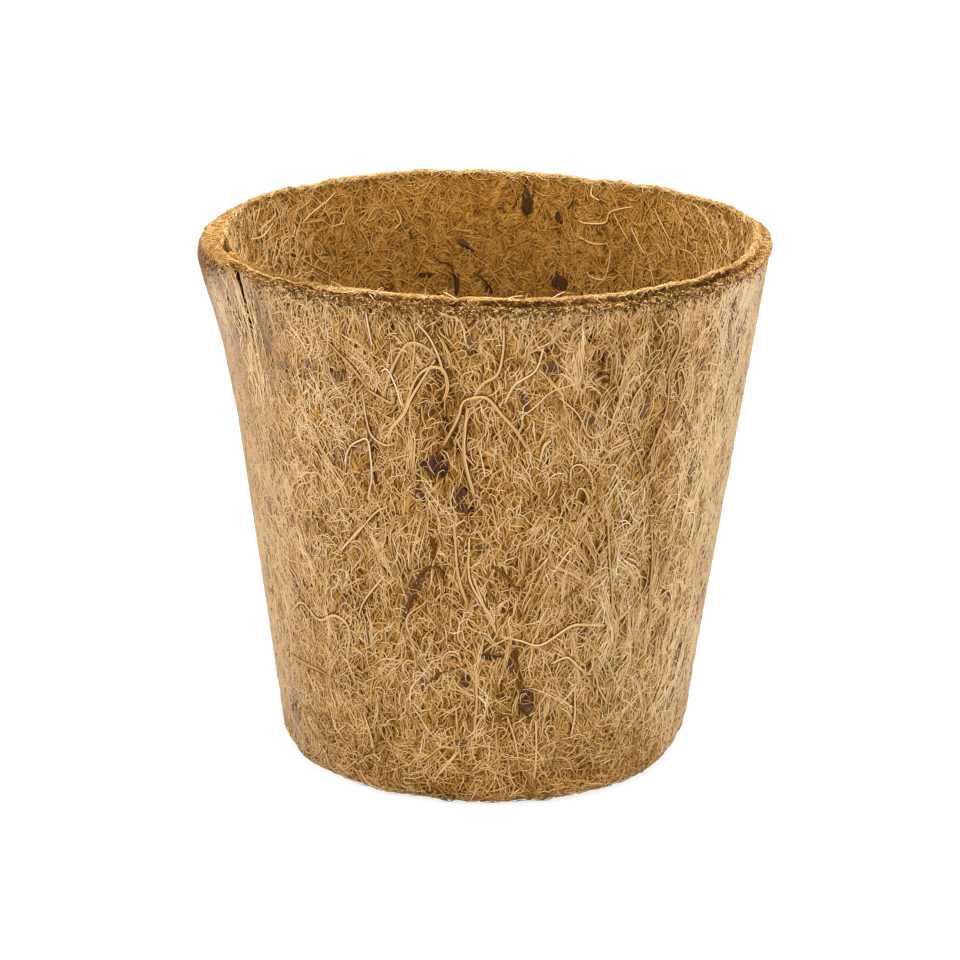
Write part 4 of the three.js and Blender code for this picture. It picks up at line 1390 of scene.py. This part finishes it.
# Finer fibres of the front: radius, tone, latex and route
MARKED_FIBRES = [
    (0.20, 0.64, 0.1, [[-14, 92], [-11.5, 89.5], [-9.5, 85.5], [-9, 83]]),
    (0.24, 0.61, 0.1, [[3, 92], [3, 88], [2, 83.5], [-1, 81.5], [-3.5, 78]]),
    (0.22, 0.56, 0.1, [[11, 88], [9.5, 84], [5.5, 81.5], [3.5, 78]]),
    (0.17, 0.61, 0.0, [[14.5, 79], [19, 75.5], [21.5, 71.5], [24, 71], [27.5, 73]]),
    (0.30, 0.67, 0.0, [[11.5, 67], [12, 70], [13.5, 71]]),
    (0.20, 0.67, 0.0, [[18.5, 62.5], [18.5, 65.5], [20.5, 66], [23, 64], [24, 61]]),
    (0.32, 0.59, 0.0, [[-4, 77], [-4.5, 73], [-4.5, 67.5], [-2.5, 60.5]]),
    (0.18, 0.55, 0.0, [[-6.5, 71.5], [-4.5, 68.5], [-2.5, 66.5]]),
    (0.20, 0.62, 0.0, [[-15.5, 92], [-14.5, 89], [-15, 84.5], [-15.5, 81]]),
    (0.30, 0.57, 0.0, [[38, 90.5], [41, 89], [42, 85.5], [40.5, 82.5], [39.5, 79.5]]),
    (0.28, 0.61, 0.0, [[44, 87], [42.5, 84], [40.5, 80.5], [41, 75.5], [40.5, 72.5], [39, 69], [37.5, 65]]),
    (0.18, 0.59, 0.1, [[37, 83], [33.5, 79.5], [31.5, 77], [31, 74]]),
    (0.18, 0.69, 0.0, [[44.5, 76], [43, 80], [44, 80.5], [45.5, 78], [45, 75.5]]),
    (0.14, 0.61, 0.0, [[29.5, 75], [31.5, 71], [34.5, 66], [37, 62]]),
    (0.20, 0.65, 0.1, [[-32.5, 64], [-30.5, 67.5], [-28, 69], [-26, 69.5], [-25.5, 66.5], [-25.5, 62.5],
                        [-27, 58]]),
    (0.20, 0.65, 0.1, [[-61, 79.5], [-59, 75], [-56.5, 70.5]]),
    (0.26, 0.51, 0.1, [[-25.5, 79], [-23, 78], [-20, 77], [-19.3, 78]]),
    (0.26, 0.58, 0.1, [[-10.5, 85.5], [-13, 82], [-15.5, 78.5], [-17.5, 75], [-20, 72.5], [-21, 70]]),
    (0.17, 0.79, 0.1, [[-22, 82.5], [-20.5, 83], [-19, 80.5], [-18, 77.5], [-17.5, 76.5]]),
    (0.16, 0.74, 0.1, [[-24.5, 93], [-24, 90], [-23.5, 87]]),
    (0.20, 0.58, 0.1, [[-26.5, 78.5], [-26, 74], [-25, 70.5], [-22, 69], [-19.5, 69.5]]),
    (0.30, 0.63, 0.1, [[-35.5, 47], [-31.5, 50.5], [-28.5, 53]]),
    (0.16, 0.67, 0.1, [[-29, 52.5], [-25, 56], [-22, 57.5]]),
    (0.24, 0.63, 0.0, [[-3.5, 53], [-3.5, 45.5], [-1, 41], [1.5, 38], [3, 34.5]]),
    (0.22, 0.05, 0.0, [[-16, 43.5], [-14, 46], [-11.5, 47], [-9.8, 46.3], [-9.6, 44.5]]),
    (0.12, 0.28, 0.0, [[-9.7, 45], [-9.5, 42], [-7.5, 39.5], [-5, 38.5]]),
    (0.26, 0.08, 0.0, [[-12.5, 54], [-11.5, 50], [-12, 47]]),
    (0.18, 0.67, 0.0, [[-32, 34.5], [-30, 38], [-26, 42], [-24, 44]]),
    (0.45, 0.30, 0.1, [[-62, 21.5], [-53.5, 21.5], [-46.5, 21.5], [-42.5, 20.5]]),
    (0.20, 0.08, 0.0, [[1.5, 47.5], [4, 46.5], [6.5, 44], [8.5, 43]]),
    (0.16, 0.18, 0.0, [[18, 39.5], [20.5, 41.5], [23.5, 43.5]]),
    (0.26, 0.55, 0.0, [[41, 53], [43, 45], [44, 37], [47.5, 24.5]]),
    (0.22, 0.57, 0.0, [[28.5, 55], [30, 47], [32, 39], [33.5, 29]]),
    (0.20, 0.65, 0.0, [[20, 59.5], [20.5, 61.5], [22, 61], [23.5, 58.5]]),
    (0.15, 0.65, 0.0, [[35, 32.5], [38, 36], [41.5, 39.5], [42.5, 41.5]]),
    (0.22, 0.61, 0.0, [[-2, 28.5], [-1.5, 21.5], [-2, 15.5]]),
    (0.18, 0.67, 0.0, [[6.5, 18], [8.5, 13.5], [10.5, 7]]),
    (0.22, 0.67, 0.0, [[14, 17], [14.5, 11], [14.5, 4]]),
    (0.22, 0.67, 0.0, [[24, 22.5], [24.5, 17], [24, 12.5]]),
    (0.22, 0.73, 0.0, [[-14.5, 2.5], [-11, 6.5], [-6, 11]]),
    (0.20, 0.69, 0.0, [[29.5, 24.5], [31.5, 21], [34.5, 18]]),
    (0.15, 0.77, 0.1, [[53, 52], [57, 51], [57, 46]]),
    (0.14, 0.69, 0.1, [[47.5, 37], [51, 37.5], [53.5, 34]]),
]

# Slivers of dark husk among the fibres of the front: radius, tone, latex and route
HUSK_SLIVERS = [
    (0.45, 0.06, 0.0, [[7.3, 31.5], [8.4, 27.8], [9.6, 24.2]]),
    (0.50, 0.10, 0.0, [[-15.2, 44.4], [-17.3, 40.2], [-20, 35.4]]),
    (0.34, 0.26, 0.0, [[0.5, 47.2], [1.1, 43.1], [1.9, 39.4]]),
    (0.22, 0.16, 0.0, [[-16.2, 22.5], [-12.7, 24.9], [-9.4, 26.7], [-3.2, 28.4]]),
    (0.30, 0.06, 0.0, [[-1.2, 30.2], [2.5, 30.3], [6, 29.8]]),
]

# Fibres of the inner face: radius, tone, latex and route
INNER_MARKED = [
    (0.18, 0.85, 0.0, [[-121, 95], [-122, 93], [-121, 91.8], [-117, 90.7], [-115, 90.2]]),
    (0.18, 0.80, 0.0, [[-134, 95], [-133, 93.3], [-130, 92.3], [-128, 91.8]]),
    (0.15, 0.75, 0.0, [[-141, 94], [-138, 92.5], [-133, 90.8], [-130, 89.3]]),
    (0.16, 0.75, 0.0, [[-125, 93.2], [-124, 91.7], [-124, 90.6]]),
    (0.18, 0.80, 0.0, [[-123, 88.7], [-119, 88.2], [-116, 87.7]]),
    (0.16, 0.80, 0.0, [[-121, 90.8], [-118, 89.6], [-115, 89.1], [-110, 89.7]]),
    (0.16, 0.75, 0.0, [[-124, 88.1], [-122, 85.7], [-119, 82.8]]),
    (0.16, 0.70, 0.0, [[-122, 88], [-120, 85.5], [-119, 83.8]]),
    (0.14, 0.70, 0.0, [[-126, 84.9], [-129, 82.6], [-134, 80.3], [-139, 78.1]]),
    (0.14, 0.80, 0.0, [[-139, 87.6], [-141, 87.8], [-143, 87.9]]),
    (0.15, 0.75, 0.0, [[-114, 95], [-113, 93.5], [-113, 91], [-113, 89.6]]),
    (0.15, 0.70, 0.0, [[-117, 95], [-116, 93.7], [-114, 91.8]]),
    (0.14, 0.65, 0.0, [[-157, 89.4], [-158, 87.1], [-156, 85.5]]),
    (0.16, 0.75, 0.0, [[155, 95], [155, 93], [153, 92.1]]),
    (0.14, 0.70, 0.0, [[158, 85], [154, 83.8], [150, 84]]),
    (0.16, 0.75, 0.0, [[144, 87.9], [141, 84.9], [139, 83.2]]),
    (0.14, 0.70, 0.0, [[149, 90.1], [147, 87.9], [144, 85]]),
    (0.16, 0.70, 0.0, [[158, 88], [156, 87.5], [151, 88], [150, 90], [147, 91.1], [144, 91.8]]),
    (0.14, 0.75, 0.0, [[128, 95], [123, 94], [118, 90.7]]),
    (0.14, 0.65, 0.0, [[138, 92.2], [135, 89.5], [132, 87]]),
    (0.14, 0.70, 0.0, [[138, 82.5], [136, 79.4], [135, 77.4]]),
    (0.14, 0.65, 0.0, [[155, 78.3], [153, 77.3], [150, 77.3], [149, 80.1], [149, 83.2]]),
    (0.14, 0.70, 0.0, [[142, 82.8], [142, 79.8], [142, 76.5]]),
    (0.14, 0.75, 0.0, [[116, 89.4], [112, 88.2], [108, 87.6]]),
]

# Slivers of dark husk among the fibres of the inner back wall: radius, tone, latex and route
INNER_SLIVERS = [
    (0.26, 0.0, 0.0, [[-172.2, 82.6], [-174.2, 81.9], [-176.2, 80.7]]),
    (0.17, 0.0, 0.0, [[-162.4, 76.8], [-164.5, 76.6], [-166.5, 76.6]]),
    (0.15, 0.05, 0.0, [[-167.4, 78.8], [-170.1, 78.3], [-171.1, 76.2], [-171.6, 72.1]]),
    (0.20, 0.0, 0.0, [[-177.2, 76.2], [-179.0, 75.0], [-181.0, 73.1]]),
    (0.15, 0.05, 0.0, [[-176.2, 76.0], [-176.9, 76.5], [-177.9, 77.2]]),
    (0.26, 0.0, 0.0, [[-160.2, 84.9], [-160.4, 84.3], [-160.7, 83.4]]),
    (0.20, 0.05, 0.0, [[159.2, 92.3], [159.9, 90.9], [160.8, 89.7]]),
    (0.11, 0.15, 0.0, [[176.9, 90.4], [176.8, 89.0], [175.8, 88.3]]),
    (0.13, 0.15, 0.0, [[172.9, 92.1], [173.9, 90.4], [174.4, 89.2]]),
    (0.20, 0.1, 0.0, [[153.2, 86.8], [152.4, 86.2], [151.3, 85.6]]),
    (0.26, 0.1, 0.0, [[173.0, 94.4], [171.0, 92.7], [170.4, 90.2]]),
    (0.22, 0.1, 0.0, [[169.3, 94.4], [169.6, 92.4], [170.2, 90.3]]),
]


def smooth_route(route, steps):
    """Points along a smooth curve through a route's points."""
    knots = np.array(route, float)
    ends = np.vstack([2 * knots[0] - knots[1], knots, 2 * knots[-1] - knots[-2]])
    at = np.linspace(0, len(knots) - 1, steps + 1)
    i = np.minimum(at.astype(int), len(knots) - 2)
    t = (at - i)[:, None]
    a, b, c, d = (ends[i + k] for k in range(4))
    return 0.5 * (2 * b + (c - a) * t + (2 * a - 5 * b + 4 * c - d) * t**2 + (3 * b - a - 3 * c + d) * t**3)


def on_wall(face, route, lift, aside):
    """A route's points on a face and the normals there, at a lift and a little to one side, with the ends
    tucked in."""
    line = smooth_route(route, RIBBON_STEPS)
    u = np.linspace(0, 1, RIBBON_STEPS + 1)
    rise = lift - tucked(u, RIBBON_TUCK, 0.25)
    points, normals = face.look(line[:, 0], face.along(line[:, 1]), rise)
    across = unit(np.cross(np.gradient(points, axis=0), normals))
    return points + across * (aside * (0.7 + 0.3 * np.sin(6 * u + 20 * aside)))[:, None], normals


def ribbon(name, rows, face=OUTSIDE, material=OUTER_FIBRE, sunk=0.0, shadow_edges=(-1, 1)):
    """One mesh of flat ribbons, each of a few fibres side by side with a dark fibre sunk at its edges as a
    painted shadow, from (radius, tone, latex, route) rows."""
    points, normals, radius, tone, latex_and_sheen = [], [], [], [], []
    for wide, shade, milk, route in rows:
        count = max(1, round(wide / RIBBON_FIBRE))
        fibres = [(aside, wide / count, shade + rng.uniform(-0.14, 0.14), rng.uniform(-0.06, 0.04))
                  for aside in np.linspace(-1, 1, count) * (wide - wide / count)]
        # painted shadow: a dark fibre at each edge
        fibres += [(side * (wide + SHADOW_EDGE_FIBRE), SHADOW_EDGE_FIBRE, SHADOW_EDGE_TONE, SHADOW_EDGE_LIFT) for side in shadow_edges]
        for aside, thick, own, lift in fibres:
            laid, out = on_wall(face, route, lift - sunk, aside)
            points.append(laid)
            normals.append(out)
            radius.append(thick)
            tone.append(np.full(RIBBON_STEPS + 1, np.clip(own, 0, 1)))
            latex_and_sheen.append(np.full(RIBBON_STEPS + 1, milk * (own > 0.1)))
    laid = (np.array(values) for values in (points, normals, radius, tone, latex_and_sheen))
    return fibre_mesh(name, *laid, material, sides=4, flat=0.9)


def long_strands():
    """The coarsest strands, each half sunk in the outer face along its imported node's route."""
    for i, route in enumerate(STRANDS):
        made = ribbon(f"surface_strand_{i + 1:02d}_coir", [(STRAND_RADIUS, STRAND_TONE, 0.0, route)])
        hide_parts(f"surface_strand_{i + 1:02d}")


def marked_fibres():
    """The fibres and slivers that stand out on the front, and the fibres that do on the inner face."""
    ribbon("marked_fibres", MARKED_FIBRES)
    ribbon("husk_slivers", HUSK_SLIVERS, sunk=SLIVER_SINK)
    ribbon("inner_marked_fibres", INNER_MARKED, INSIDE, INNER_FIBRE, SLIVER_SINK, ())


def inner_slivers():
    """The dark slivers that stand out on the inner back wall, less sunk than those of the front."""
    ribbon("inner_husk_slivers", INNER_SLIVERS, INSIDE, RIM_FIBRE, SLIVER_SINK / 2, ())


place_camera()
light_studio()
lay_floor()
outer_shell()
inner_shell()
husk_chips()
long_strands()
marked_fibres()
outer_fibres()
outer_bundles()
web_fibres()
pleat_fibres()
foot_fibres()
inner_fibres()
rim_fibres()
rim_hairs()
rim_crumbs()
front_hairs()
inner_slivers()
